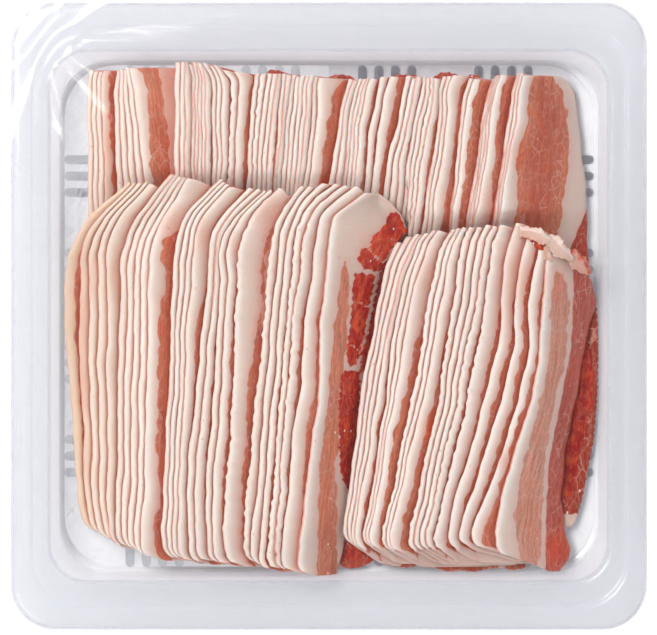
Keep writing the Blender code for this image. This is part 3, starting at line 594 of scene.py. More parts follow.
def setOut(pile, make):
    # every slice's edge line, lift, ends, and the random values behind its unevenness and look
    count = sum(pile["bundles"])
    numbers = np.arange(count)[:, None]
    pile["count"] = count
    lifts = np.concatenate([(np.arange(n) - (n - 1) / 2) * make["lift"] for n in pile["bundles"]])
    rng = np.random.default_rng(make["seed"] + count)
    phases = rng.uniform(0, 2 * math.pi, (count, 2))
    jitter = rng.uniform(-0.7, 0.7, (count, 2))
    pile["look"] = rng.uniform(0, 1, (count, 6))
    finePhases = rng.uniform(0, 2 * math.pi, (count, 8))
    pile["frontEnd"] = keyed(pile["front"], count) + jitter[:, 0] * pile["endJitter"]
    pile["backEnd"] = keyed(pile["back"], count) + jitter[:, 1]
    y = fineY[None, :]
    x = smoothLines(pile, count)
    # along x: slow waves, small ones, those that neighbours share, torn edges, bent tips and rounded
    # near ends
    wobble = 0.3 * np.sin(y / 9 + phases[:, :1]) + 0.35 * np.sin(y / 23 + phases[:, 1:])
    fine = waves(y, (33.0, 17.0, 8.3, 5.2), (2.2, 1.8, 1.2, 1.0), finePhases[:, :4])
    common = 0.3 * np.sin(y / 10 + x / 9) + 0.15 * np.sin(y / 4.3 + x / 5)
    torn = np.isin(numbers, pile["frayed"]) * make["frayed"]
    torn = torn * (np.sin(y * 1.9 + phases[:, :1]) + 0.7 * np.sin(y * 0.83 + phases[:, 1:]))
    kinks = [[pile["kinked"].get(n, 0.5 * (pile["look"][n][2] - 0.5))] for n in range(count)]
    tip = np.clip((y - pile["backEnd"][:, None] + 7) / 7, 0, 1) ** 2
    near = np.clip((pile["frontEnd"][:, None] + 5 - y) / 5, 0, 0.96)
    x = x + wobble * make["wobble"] + fine * make["fineWobble"] + common + torn + kinks * tip
    x = x + 3.4 * (1 - np.sqrt(1 - near**2))
    for row in range(1, count):
        x[row] = np.maximum(x[row], x[row - 1] + 0.5)
    # up: the pile's own height, reached over the first slices, its bundles' lifts and small waves
    ramp = pile["firstHeight"] + (1 - pile["firstHeight"]) * numbers / make["rampSlices"]
    height = pileHeights[pile["name"]](numbers / (count - 1), y)
    fineZ = waves(y, (37.0, 14.0, 6.7, 4.3), (2.5, 1.5, 1.0, 0.6), finePhases[:, 4:]) * make["fineWobble"]
    z = make["floor"] + height * np.minimum(ramp, 1.0) + lifts[:, None] + wobble * 0.4 + fineZ
    if pile["name"] != "back":
        z = np.maximum(z, restingPlane(x, y) + 2.3 + make["stackStep"] * np.minimum(numbers, 5))
    # below the last edge the flank falls 0.55 s + 0.45 s^2 of the way to its foot, s from 0 to 1
    flank = flanks[pile["name"]]
    edge = np.interp(fineY, flank["levels"], flank["edge"])
    right = np.maximum(edge + 0.25 * np.sin(fineY / 3.1) + 0.3 * np.sin(fineY / 7.7), x[-1] + 3)
    drop = np.minimum(z[-1] - flank["foot"](fineY), 0.95 * (right - x[-1]))
    steps = np.arange(1, make["flankSteps"] + 1)[:, None]
    s = steps / make["flankSteps"]
    pile["lineX"] = np.concatenate([x, x[-1] + (right - x[-1]) * s])
    pile["lineZ"] = np.concatenate([z, z[-1] - drop * (0.55 * s + 0.45 * s**2) + steps * make["rise"]])


def restingPlane(x, y):
    # the slope that the front piles' far ends lie on: floor + slope * (y - foot)
    right = x > 37
    slope = np.where(right, rightPile["slope"], leftPile["slope"])
    foot = np.where(right, rightPile["slopeFoot"], leftPile["slopeFoot"])
    return sliceMake["floor"] + slope * (y - foot)


def stationsOf(front, back, gap):
    # shares of a slice's length, even inside and close together at its round ends
    length = back - front
    closeBy = np.array([0.0, 0.08, 0.3, 0.65, 1.2])
    inner = np.linspace(2.2, length - 2.2, int(length / gap))
    return np.concatenate([closeBy, inner, length - closeBy[::-1]]) / length


def sampleLines(table, y):
    # values of every line of the table at the places y, any shape
    spot = np.clip(y - fineY[0], 0, len(fineY) - 1.001)
    index = spot.astype(int)
    return table[:, index] * (1 - (spot - index)) + table[:, index + 1] * (spot - index)


def spotsAcross(pile, number, make, fine, lines):
    # which edge line each column of a slice lies after, and how far to the next
    if number == pile["count"] - 1:
        spots = np.linspace(0, make["flankSteps"] * 0.999, 14 * fine)
    else:
        spots = np.concatenate([np.linspace(0, 1, 7), [2.0, 3.5], np.linspace(5, lines - 1.01, 4)])
    return np.minimum(spots, lines - 1.001)


def sliceFace(pile, number, make, fine):
    # x, y and z of a slice's upper face, carried down across the edge lines of the slices after it
    topMost = number == pile["count"] - 1
    tableX, tableZ = (pile[key][number:number + 15] for key in ("lineX", "lineZ"))
    front, back = pile["frontEnd"][number], pile["backEnd"][number]
    shares = stationsOf(front, back, make["stationGap"] / fine)
    spots = spotsAcross(pile, number, make, fine, len(tableX))
    middle = sampleLines(tableX, np.array([(front + back) / 2]))[:, 0]
    across = np.interp(spots, np.arange(len(middle)), middle) - middle[0]
    # far ends of a spread bundle slant away, and so do near ends, over the first few mm
    spread = 0.0 if topMost else np.interp(number, *pile["farSpread"])
    backs = np.maximum(back - spread * (across / 6) ** 1.3, back - 16)[:, None]
    fronts = (front - pile["frontSlant"] * np.minimum(across, pile["slantReach"]))[:, None]
    y = fronts + (backs - fronts) * shares[None, :]
    lineX, lineZ = sampleLines(tableX, y), sampleLines(tableZ, y)
    k = spots.astype(int)
    part = (spots - k)[:, None]
    column = np.arange(len(spots))
    x = lineX[k, column] * (1 - part) + lineX[k + 1, column] * part
    depth = (k * make["rise"])[:, None]
    nextDepth = ((k + 1) * make["rise"])[:, None]
    z = (lineZ[k, column] - depth) * (1 - part) + (lineZ[k + 1, column] - nextDepth) * part
    if not topMost:
        run = np.minimum(lineX[k + 1, column] - lineX[k, column], 3.4)
        z = z + make["bulge"] * run * np.sin(math.pi * part) * 2 * (k[:, None] == 0)
        x = x[:1] + np.minimum(x - x[:1], make["width"])
    return x, y, z, spots


def sliceBody(pile, number, make, fine=1):
    # closed slice: its upper face lies on the edge lines, its lower face one thickness behind, all
    # edges round
    x, y, z, spots = sliceFace(pile, number, make, fine)
    # nothing sinks through the floor, and the far ends keep to their side of the slope between the
    # piles
    plane = restingPlane(x, y)
    thickest = make["thickest"]
    squeeze = np.ones_like(x)
    if pile["name"] == "back":
        squeeze = np.clip((plane - make["floor"]) / 27.0, 0.12, 1.0)
        z = make["floor"] + np.maximum(z - make["floor"], 1.9 + 0.01 * number) * squeeze
    else:
        raised = np.maximum(z, np.maximum(make["floor"], plane + 0.3) + 2.0 + 0.01 * number)
        thickest = thickest - 1.5 * smoothStep((raised - z - 0.1) / 1.5)
        z = raised
    slope = np.gradient(z, axis=0) / np.maximum(np.gradient(x, axis=0), 0.05)
    slope[0] = np.minimum(slope[0], slope[1])
    angle = np.arctan(np.clip(-slope, -0.1, 1.5))
    thick = np.minimum(thickest, make["rise"] * np.cos(angle) - make["gap"]) * squeeze
    steps = np.hypot(np.diff(x, axis=0), np.diff(z, axis=0))
    arc = np.concatenate([0 * y[:1], np.cumsum(steps, axis=0)])
    normalX, normalZ = np.sin(angle), np.cos(angle)
    # the nose: the first column carried outwards while it thins
    reachOut, thin = np.array(noseShape).T[:, :, None]

    def withNose(grid, nose=0.0):
        return np.concatenate([grid[:1] + nose + 0 * reachOut, grid])

    gx, gz = withNose(x, normalZ[:1] * reachOut), withNose(z, -normalX[:1] * reachOut)
    gy, nx, nz, th = (withNose(grid) for grid in (y, normalX, normalZ, thick))
    arc = withNose(arc, reachOut)
    half = np.concatenate([thin + 0 * y[:1], np.ones_like(x)])
    half[-1] = 0.4
    fromEnd = np.minimum(gy - gy[:, :1], gy[:, -1:] - gy) / make["edgeRound"]
    ends = np.sqrt(np.clip(1 - (1 - np.clip(fromEnd, 0, 1)) ** 2, 0.015, 1))
    swell = half * ends * th / 2
    middleX, middleZ = gx - nx * th / 2, gz - nz * th / 2
    upper = triples(middleX + nx * swell, gy, middleZ + nz * swell)
    lower = triples(middleX - nx * swell, gy, np.maximum(middleZ - nz * swell, make["floor"] - 0.05))
    # painted shade in the crease: on the underside of the nose, and on the last of the face before the next
    # slice covers it
    nose = np.array([1.0, 0.75, 0.3])
    underNoseShade = np.concatenate([nose, 0.12 * np.exp(-spots / 0.2)])[:, None]
    valleyShade = np.concatenate([0 * nose, smoothStep((spots - 0.35) / 0.7)])[:, None]
    if number == pile["count"] - 1:
        creaseShade = np.concatenate([nose, 0 * spots])[:, None] + 0 * gx
    else:
        inView = smoothStep((pile["frontEnd"][number] + 0.5 - gy) / 2.5) if pile["frontSlant"] else 0 * gy
        creaseShade = np.maximum(underNoseShade, valleyShade * (1 - 0.8 * inView)) + 0 * gx
    # painted highlight: the fat lighter near each slice's edge, fading over the first 2 mm of its strip
    ridgeHighlight = np.exp(-(np.maximum(arc, 0) / 2.1) ** 1.5)
    return upper, lower, arc, gx, gy, triples(creaseShade, 0, ridgeHighlight)


def closeSlice(upper, lower):
    # rings along the slice: upper columns left to right, then lower ones back, with a cap at each end
    columns, rows = upper.shape[:2]
    ring = np.concatenate([upper, lower[::-1]], axis=0).transpose(1, 0, 2)
    sides, startCap, endCap = tubeQuads(rows, 2 * columns)
    return ring.reshape(-1, 3), np.concatenate([sides, startCap[:, ::-1], endCap[:, ::-1]])


def meatPiece(name, slices, slot, replaced):
    # one mesh of many closed slices, each with its place, lean bands, tone and shade kept on the points
    bodies = [closeSlice(one["upper"], one["lower"]) for one in slices]
    piece = meshFrom(name, *joined(bodies), slot, meatFinish, replaced)
    for label in ("place", "bands", "tone", "shade"):
        both = [np.concatenate([one[label], one[label][::-1]], axis=0) for one in slices]
        values = np.concatenate([grid.transpose(1, 0, 2).reshape(-1, 3) for grid in both])
        layer = piece.data.attributes.new(label, "FLOAT_VECTOR", "POINT")
        layer.data.foreach_set("vector", values.astype(np.float32).ravel())


def lookOf(pile, number, arc, y):
    # how deep each point lies in the lean (mm, negative in the fat), and the slice's tone: yellow,
    # red, dark
    look = pile["look"][number]
    cap = pile["capWidth"] * (0.9 + 0.3 * look[0]) + 0 * y
    if number in pile["caps"]:
        cap = np.interp(y, *pile["caps"][number])
    end = pile["ends"].get(number, 11 + 6 * look[5])
    # past the visible strip the near ends turn to fat
    fatEnd = 9 * smoothStep((pile["frontEnd"][number] + 1.5 - y) / 5) * smoothStep((arc - 4) / 4)
    tones = zip(*pile["tone"].values())
    yellow, red = (np.interp(number, list(pile["tone"]), column) for column in tones)
    bands = triples(arc - cap - fatEnd * pile["fatEnds"], end - arc, -9)
    return bands, np.broadcast_to((yellow + 0.1 * look[3], red + 0.3 * (look[4] - 0.5), 0), bands.shape)


def between(x, y, levels, low, high):
    # mm inside a band whose sides lie at low and high, both given at the levels
    levels = np.array(levels, float)
    order = np.argsort(levels)
    lower = np.interp(y, levels[order], np.array(low, float)[order])
    upper = np.interp(y, levels[order], np.array(high, float)[order])
    return np.minimum(x - lower, upper - x)


def offLine(x, y, start, stop):
    # distance to the straight line between two points
    (ax, ay), (bx, by) = start, stop
    dx, dy = bx - ax, by - ay
    t = np.clip(((x - ax) * dx + (y - ay) * dy) / (dx * dx + dy * dy), 0, 1)
    return np.hypot(x - ax - t * dx, y - ay - t * dy)


def insideOutline(x, y, corners):
    # signed distance to a closed outline, positive inside
    corners = np.array(corners, float)
    nearest = np.full(x.shape, 1e9)
    crossings = np.zeros(x.shape, int)
    for start, stop in zip(corners, np.roll(corners, -1, axis=0)):
        nearest = np.minimum(nearest, offLine(x, y, start, stop))
        if start[1] != stop[1]:
            meets = start[0] + (y - start[1]) * (stop[0] - start[0]) / (stop[1] - start[1])
            crossings += ((start[1] > y) != (stop[1] > y)) & (x < meets)
    return np.where(crossings % 2 == 1, nearest, -nearest)


def leftTopBands(x, y):
    # a salmon strip beside the fat, then the dark red lobes and two blocks parted by thin white seams
    strip = between(x, y, (26, 17, -7, -58, -72, -86, -119), (6.8, 5.4, 2.2, -3.4, -4.2, -5.4, -5.8),
                    (9, 10, 9, 5, 3.5, 3.8, 3.6))
    strip = np.minimum(strip, (26.5 - y) * 1.2)
    x = x + 0.35 * np.sin(1.7 * y) + 0.25 * np.sin(3.1 * y + 0.8 * x)
    y = y + 0.35 * np.sin(1.5 * x) + 0.25 * np.sin(2.9 * x - y)
    lobes = insideOutline(x, y, ((28, 47.6), (31.5, 49), (35.4, 42), (37.5, 36.5), (30.4, 34),
                                 (27, 27.5), (23, 20.6), (17, 22.4), (13.2, 26.5), (15.2, 31),
                                 (19.4, 32.6), (20, 37), (25.6, 41)))
    upper = insideOutline(x, y, ((12.2, 20), (21.4, 19), (20, 11), (17.8, -2), (14.6, -16),
                                 (12.6, -22.5), (9.6, -23.5), (8.2, -19), (9.6, -8), (11, 6)))
    lower = insideOutline(x, y, ((6.4, -26), (14.6, -25.6), (13.8, -44), (13, -60), (12.4, -70),
                                 (9.8, -81.5), (7.2, -78), (5.4, -68), (4.8, -52), (5.4, -38)))
    # the side that faces the next pile: dark red lean over the flank's last few mm, partly the slice's own
    # lean and partly painted shade of the gap between the piles
    side = between(x, y, (26, 14, 4, -14, -25), (25, 22.2, 20.2, 16.2, 14.4), (50,) * 5)
    side = np.minimum(side, np.minimum((26 - y) * 0.6, (y + 27) * 0.5))
    dark = np.maximum(np.maximum(lobes, upper), lower) + 0.35
    dark = np.maximum(dark, side)
    seams = (((18.6, 31.2), (26, 24.2)), ((24.8, 40.8), (30.6, 34.4)), ((12.5, 7), (20.4, 3.6)),
             ((10, -13.5), (15.4, -17)))
    for start, stop in seams:
        dark = np.minimum(dark, offLine(x, y, start, stop) - 0.15)
    return triples(strip, strip + 50, dark)


def rightTopBands(x, y):
    # fat, a pale lean band, a white seam, and a redder band out to the edge
    first = between(x, y, (22, 9, -13, -25, -48, -70, -93, -116),
                    (106, 103.2, 102.6, 101.7, 96.8, 90, 86.5, 89),
                    (110, 112, 111, 109.2, 104.1, 100.7, 99.9, 98.5))
    first = np.minimum(first, (21 - y) * 0.8)
    second = between(x, y, (24, 9, -13, -25, -48, -70, -93, -116),
                     (113.5, 114.3, 113.3, 111.2, 106.4, 102.4, 101.5, 100.9), (140,) * 8)
    second = np.minimum(second, (25 - y) * 0.8)
    return triples(first, first + 50, second)


def backTopBands(x, y):
    # a wide lean band between the edge fat and the outer fat, and a red streak low on the right
    first = between(x, y, (113, 105, 91, 73, 54, 26), (95, 93.2, 92, 87, 87.5, 84),
                    (104, 110, 112, 112.6, 110, 105))
    second = between(x, y, (52, 50, 40, 30, 24), (122, 120.3, 116.5, 112.4, 110), (123, 126, 130, 130, 130))
    return triples(first, first + 50, second)


# soft pink or orange patches on the fat: slice, middle x and y, half sizes, strength
blushes = {
    "left": ((1, -116, -20, 3, 70, 0.9), (2, -112, 15, 3, 12, 0.9), (4, -100, 20, 3, 9, 0.9),
             (9, -72, 42, 6, 8, 1.0), (13, -58, 36, 5, 8, 0.9), (18, -28, 50, 8, 9, 0.8),
             (25, 21, 33, 7, 7, 0.7), (17, -44, 33, 2, 6, 0.8)),
    "right": ((3, 31, 5, 4, 30, 0.5), (6, 47, 15, 6, 20, 0.7), (8, 44, -58, 5, 9, 1.6),
              (9, 48, -56, 4, 10, 1.4), (14, 82, 10, 5, 20, 0.6), (15, 86, 12, 5, 20, 0.9),
              (16, 91, 14, 4, 14, 0.9), (18, 103, 16, 7, 8, 0.6), (17, 81, -66, 4, 6, 0.9),
              (18, 108, -108, 7, 9, 1.3)),
    "back": ((3, -103, 85, 4, 40, 0.9), (8, -74, 90, 3, 40, 0.8), (11, -64, 90, 2, 40, 0.5),
             (34, -3, 95, 4, 20, 0.8), (59, 76, 52, 6, 12, 0.8), (62, 87, 75, 4, 9, 0.9)),
}


def blushOf(pile, number, x, y):
    # sum of soft ellipses: exp(-(dx^2 + dy^2))
    total = np.zeros(x.shape)
    for which, midX, midY, sizeX, sizeY, strength in blushes[pile["name"]]:
        if which == number:
            total += strength * np.exp(-((x - midX) / sizeX) ** 2 - ((y - midY) / sizeY) ** 2)
    return total


topBands = {"left": leftTopBands, "right": rightTopBands, "back": backTopBands}
topTones = {"left": (0.02, -0.05, 1.0), "right": (0.0, -0.65, 0.05), "back": (0.0, 0.25, 0.1)}


def dressPile(pile, make):
    # all slices of a pile; the last one carries its own pattern
    setOut(pile, make)
    slices = []
    for number in range(pile["count"]):
        top = number == pile["count"] - 1
        upper, lower, arc, x, y, shade = sliceBody(pile, number, make, fine=2 if top else 1)
        shade[..., 1] = blushOf(pile, number, x, y)
        bands, tone = lookOf(pile, number, arc, y)
        if top:
            bands = topBands[pile["name"]](x, y)
            tone = np.broadcast_to(topTones[pile["name"]], bands.shape)
        place = triples(arc, y, 7.3 * number + 3.1 * pile["look"][number][0])
        slices.append({"upper": upper, "lower": lower,
                       "place": place, "bands": bands, "tone": tone, "shade": shade})
    return slices


for pile in (backPile, leftPile, rightPile):
    name = pile["name"]
    *body, top = dressPile(pile, sliceMake)
    half = len(body) // 2
    halves = {"SlicesLeft": body[:half], "SlicesRight": body[half:]}
    parts = halves if name == "back" else {"Slices": body}
    for part, slices in parts.items():
        meatPiece(name + part, slices, "meat_fat", (name + "_pile",))
    meatPiece(name + "TopSlice", [top], "meat_lean", (name + "_top_slice",))
    print(name, "pile:", pile["count"], "slices")


# slices that lie apart or only just show

loosePieces = {
    "rightUnderSlice": {
        "node": "right_under_slice", "alongX": False,
        "levels": (-99, -96, -88, -76, -58, -43, -31, -16, -3, 5, 12, 19, 26),
        "low": (108, 106, 105, 104, 104, 105, 106, 107, 107, 107, 108, 108, 110),
        "high": (113.4, 115.6, 118.2, 120.6, 124, 125.4, 126, 126.2, 126, 125.4, 124, 122, 118.5),
        "top": 5.9, "tilt": -0.05, "tone": (0.0, 1.6, 1.3), "lean": (-93, 19), "fatSide": None,
        "dark": ((116, -14), (121.5, -8), (124, -22), (122.6, -44), (119, -62), (114, -84), (108, -88),
                 (109, -60), (113, -34)),
    },
    "frontUnderSlice": {
        "node": "front_under_slice", "alongX": True,
        "levels": (3.5, 6, 9, 12, 15, 18, 21),
        "low": (-113, -117.6, -118.4, -118.2, -117.6, -116.4, -114.6),
        "high": (-108, -106, -105, -105, -106, -108, -111.5),
        "top": 4.8, "tilt": 0.02, "tone": (0.0, 0.8, 0.8), "lean": (0, 40), "fatSide": None,
        "dark": ((6, -109), (12, -108), (17, -111), (12, -115), (7, -114)),
    },
}
tuckedPieces = {
    "backTucked": {
        "node": "back_pile", "alongX": True,
        "levels": (-34, -30, -28, -23, -19, -16, -8, -4, 1, 6, 11, 14, 26, 31, 41, 44, 49, 52, 56, 61,
                   63, 66, 70, 74),
        "low": (104,) * 24,
        "high": (109, 112, 115.2, 114.8, 113.2, 110, 107, 109, 112.4, 113, 112, 108, 109, 113, 112.6,
                 108.5, 111.6, 113.8, 114, 112.6, 109, 113, 112.6, 108),
        "top": 17.0, "tilt": 0.0, "tone": (0.0, 0.7, 0.6), "lean": (-200, 200), "fatSide": None,
        "dark": None,
    },
    "frontTuckedLow": {
        "node": "right_pile", "alongX": True,
        "levels": (44, 50, 56, 62, 68, 74, 80, 86, 92),
        "low": (-114, -118.2, -119.8, -119.2, -119.9, -118.6, -118, -119.2, -118), "high": (-100,) * 9,
        "top": 5.0, "tilt": 0.0, "tone": (0.0, 0.35, 0.5), "lean": (0, 79), "fatSide": 82, "dark": None,
    },
    "frontTuckedHigh": {
        "node": "right_pile", "alongX": True,
        "levels": (18, 24, 30, 36, 42, 48, 54, 60, 66),
        "low": (-112, -115.8, -117, -118, -117, -117.8, -117, -117, -114), "high": (-98,) * 9,
        "top": 7.4, "tilt": 0.0, "tone": (0.0, 0.3, 0.4), "lean": (27, 52), "fatSide": 57, "dark": None,
    },
    "frontTuckedLeft": {
        "node": "left_pile", "alongX": True,
        "levels": (-62, -57, -53, -50, -44, -36, -30, -24, -20),
        "low": (-110, -114.6, -115.2, -112, -113, -115, -117.4, -117.8, -115), "high": (-100,) * 9,
        "top": 6.0, "tilt": 0.0, "tone": (0.1, 0.8, 0.9), "lean": (-60, -50), "fatSide": -48, "dark": None,
    },
}


def looseSlice(piece, seed):
    # a lying slice between two outlines: a grid from low to high, thin at every rim, gently waved
    levels = np.array(piece["levels"], float)
    run = np.linspace(levels[0], levels[-1], max(int((levels[-1] - levels[0]) / 0.9), 14))
    low = np.interp(run, levels, piece["low"]) + 0.18 * np.sin(run * 2.3 + seed)
    high = np.interp(run, levels, piece["high"]) + 0.22 * np.sin(run * 1.9 + seed)
    high = high + 0.15 * np.sin(run * 4.1)
    steps = np.concatenate([[0.0, 0.015, 0.05], np.linspace(0.1, 0.9, 18), [0.95, 0.985, 1.0]])[:, None]
    across = low + (high - low) * steps
    along = run[None, :] + 0 * across
    x, y = (along, across) if piece["alongX"] else (across, along)
    inAcross = np.minimum(across - low, high - across)
    inAlong = np.minimum(along - levels[0], levels[-1] - along) + 0.05
    rim = np.clip(np.minimum(inAcross, inAlong) / 1.0, 0.0, 1.0)
    half = 0.9 * np.sqrt(1 - (1 - rim) ** 2) + 0.02
    wave = 0.25 * np.sin(x * 0.31 + seed) * np.sin(y * 0.22) + 0.15 * np.sin(y * 0.55 + x * 0.2)
    centre = piece["top"] - 0.9 + piece["tilt"] * (x - x.mean()) + wave
    centre = np.maximum(centre, sliceMake["floor"] + 0.95)
    if piece["alongX"]:
        x, y, centre, half = (grid[:, ::-1] for grid in (x, y, centre, half))
    main = x if piece["alongX"] else y
    start, stop = piece["lean"]
    lean = np.minimum(main - start, stop - main)
    if piece["fatSide"]:
        lean = np.maximum(lean, main - piece["fatSide"])
    dark = np.minimum(insideOutline(x, y, piece["dark"]) if piece["dark"] else -9, lean)
    return {"upper": triples(x, y, centre + half), "lower": triples(x, y, centre - half),
            "place": triples(x, y, seed), "bands": triples(lean, lean + 50, dark),
            "tone": np.broadcast_to(piece["tone"], (*x.shape, 3)), "shade": np.zeros((*x.shape, 3))}


def tornFlap(flap, seed):
    # a torn strip along a bent path: across runs v from -1 to 1, its height dips and rises with u,
    # its rims wander
    path = np.array(flap["path"], float)
    u = np.linspace(0, 1, 46)[:, None]
    v = np.linspace(-1, 1, 22)[None, :]
    spans = np.linspace(0, 1, len(path))
    px, py, pz, wide = (np.interp(u, spans, column) for column in path.T)
    px, py = px + 0.3 * np.sin(9 * u), py + 0.3 * np.sin(7 * u + 1)
    dx, dy = np.gradient(px, axis=0), np.gradient(py, axis=0)
    length = np.hypot(dx, dy)
    rag = 1 + 0.13 * np.sin(17 * u + 2 * v + seed) + 0.10 * np.sin(41 * u + 3 * v + seed)
    rag = rag + 0.05 * np.sin(83 * u)
    x = px - dy / length * v * wide / 2 * rag
    y = py + dx / length * v * wide / 2 * rag
    wave = 0.25 * np.sin(11 * u + 3 * v) + 0.15 * np.sin(5 * v)
    centre = pz + flap["tilt"] * v * wide / 2 - flap["curl"] * v * v + wave
    rim = np.clip(np.minimum(np.minimum(u, 1 - u) * 14, 1 - np.abs(v)) / 0.22, 0, 1)
    half = 0.8 * np.sqrt(1 - (1 - rim) ** 2) + 0.02
    lean = np.interp(v, (-1, 1), flap["lean"]) + 0 * x
    # shade: no crease, the flap's blush, and a painted highlight along the rim on one side
    return {"upper": triples(x, y, centre + half), "lower": triples(x, y, centre - half),
            "place": triples(x, y, seed), "bands": triples(lean, lean + 50, lean - flap["dark"]),
            "tone": np.broadcast_to(flap["tone"], (*x.shape, 3)),
            "shade": triples(0 * x, flap["blush"], 0.6 * rim * (v > 0.3))}


# path points: x, y, height, width
scrapFlaps = (
    {"path": ((89, 38.6, 33, 5.5), (94, 38.6, 35, 6), (98.5, 37.6, 36.4, 6.5), (101.5, 35, 36.2, 5),
              (103, 31.5, 34.5, 2)),
     "tilt": 0.25, "curl": 0.5, "lean": (0.6, -4), "dark": 9, "tone": (0.0, -0.3, 0.0), "blush": 0.5},
    {"path": ((101.5, 36, 34, 3), (104, 35, 36, 7), (107, 32, 36, 8), (110.5, 28.5, 34, 5),
              (113.5, 25.4, 31.5, 1.5)),
     "tilt": 0.2, "curl": 0.4, "lean": (-5, -6), "dark": 9, "tone": (0.05, 0.1, 0.0), "blush": 0.4},
    {"path": ((102.5, 33, 33.5, 3), (101.5, 30, 34.5, 4.5), (103, 27.5, 34, 4), (104.5, 25, 32.5, 2)),
     "tilt": -0.1, "curl": 0.3, "lean": (-5, -6), "dark": 9, "tone": (0.1, 0.1, 0.0), "blush": 0.7},
    {"path": ((110, 28.5, 30, 3), (113, 28, 31, 6), (116.5, 25.5, 30, 8), (119.5, 22, 27, 6),
              (121, 19, 24.5, 2)),
     "tilt": -0.2, "curl": 0.9, "lean": (-1.5, 1.5), "dark": 9, "tone": (0.0, 0.1, 0.0), "blush": 1.0},
    {"path": ((93.5, 34.5, 31.5, 4), (97, 32.5, 32, 6.5), (99.5, 30.5, 31.5, 4.5), (100, 27.5, 31, 2)),
     "tilt": -0.1, "curl": -0.3, "lean": (4, 3), "dark": -2, "tone": (0.0, 0.9, 1.0), "blush": 0.0},
)


for number, (name, piece) in enumerate({**loosePieces, **tuckedPieces}.items()):
    meatPiece(name, [looseSlice(piece, 40.0 + 3 * number)], "meat_lean", (piece["node"],))
flaps = [tornFlap(flap, 5.0 + number) for number, flap in enumerate(scrapFlaps)]
meatPiece("foldedScrap", flaps, "meat_fat", ("folded_scrap",))
print("loose pieces ready")


# the tray

trayMake = {
    "sheet": 0.8,         # mm of plastic
    "straightSteps": 26,
    "cornerSteps": 14,
    "ribHeight": 1.0,
    "ribWidth": 4.2,
    "ribLength": 30.0,
    "ribPitch": 7.7,
    "ribGroups": 4,       # along each wall
    "endBars": 4,         # bars in a group along the back and front walls
    "sideBars": 3,
    "ribX": 109.0,        # how far out the middles of the bars lie
    "ribY": 102.5,
}
# lower face of the sheet, from the middle of the floor to the lip: width, depth, corner radius, height
trayRings = (
    (12, 8, 3, 0), (60, 50, 10, 0), (140, 130, 18, 0), (200, 190, 22, 0), (236, 223, 24, 0),
    (248, 235, 24, 0), (252, 239, 24, 0.4), (254, 241, 24, 1.5), (254.6, 241.6, 23.5, 3.2),
    (255.4, 242.4, 23, 6), (257.5, 244.5, 21.5, 18), (259.3, 246.3, 19.6, 30),
    (260.2, 247.2, 18.6, 36.4), (260.8, 247.8, 18.2, 38.6), (262.2, 249.2, 18.6, 39.8),
    (264.6, 252, 19.4, 40.0), (268, 258, 20.4, 40.0), (274.8, 268.6, 22, 40.0),
    (276.4, 270.4, 22, 40.2), (277.4, 271.4, 22, 41.0), (279, 273, 22, 41.2), (284, 279, 21.5, 41.2),
    (291.6, 287.6, 20.4, 41.2), (293.4, 289.4, 20.2, 40.9), (294.2, 290.2, 20, 40.0),
    (294.4, 290.4, 20, 38.3),
)


def roundedOutline(width, depth, corner, make):
    # points round a rounded rectangle, starting at the middle of the right side, same count for any
    # size
    half = np.array([width / 2 - corner, depth / 2 - corner])
    turns = np.linspace(0, math.pi / 2, make["cornerSteps"] + 1)
    steps = np.linspace(0, 1, make["straightSteps"] + 1)[1:-1]
    points = []
    signs = ((1, 1), (-1, 1), (-1, -1), (1, -1))
    for quarter, sign in enumerate(signs):
        angle = turns + quarter * math.pi / 2
        arc = sign * half + corner * np.stack([np.cos(angle), np.sin(angle)], axis=-1)
        turnedOn = np.array([math.cos(angle[-1]), math.sin(angle[-1])])
        nextStart = signs[(quarter + 1) % 4] * half + corner * turnedOn
        points += [arc, arc[-1] + (nextStart - arc[-1]) * steps[:, None]]
    return np.concatenate(points)


def shellNormals(grid):
    # unit normals of a closed-round grid (rings, around, 3), pointing up and into the tray
    along = np.gradient(grid, axis=0)
    around = np.roll(grid, -1, axis=1) - np.roll(grid, 1, axis=1)
    normal = np.cross(along, around)
    return normal / np.maximum(np.linalg.norm(normal, axis=-1, keepdims=True), 1e-9)


def trayShell(rings, make):
    # the rings swept round, a second face one sheet thickness up its normals, caps closing both middles
    outlines = [roundedOutline(width, depth, corner, make) for width, depth, corner, _ in rings]
    heights = np.array(rings)[:, 3, None]
    lower = np.concatenate([outlines, np.repeat(heights, len(outlines[0]), axis=1)[..., None]], axis=-1)
    upper = lower + shellNormals(lower) * make["sheet"]
    whole = np.concatenate([upper, lower[::-1]])
    sides, startCap, endCap = tubeQuads(*whole.shape[:2])
    return whole.reshape(-1, 3), np.concatenate([sides[:, ::-1], startCap, endCap])


def ribPlaces(make):
    # the bars' middles, group by group along both pairs of walls; turned bars lie along x
    for side in (-1, 1):
        for group in range(make["ribGroups"]):
            share = (group - (make["ribGroups"] - 1) / 2) / make["ribGroups"]
            for bar in range(make["endBars"]):
                off = (bar - (make["endBars"] - 1) / 2) * make["ribPitch"]
                yield share * 2 * make["ribX"] + off, side * make["ribY"], False
            for bar in range(make["sideBars"]):
                off = (bar - (make["sideBars"] - 1) / 2) * make["ribPitch"]
                yield side * make["ribX"], share * (2 * make["ribY"] - make["ribLength"]) + off, True


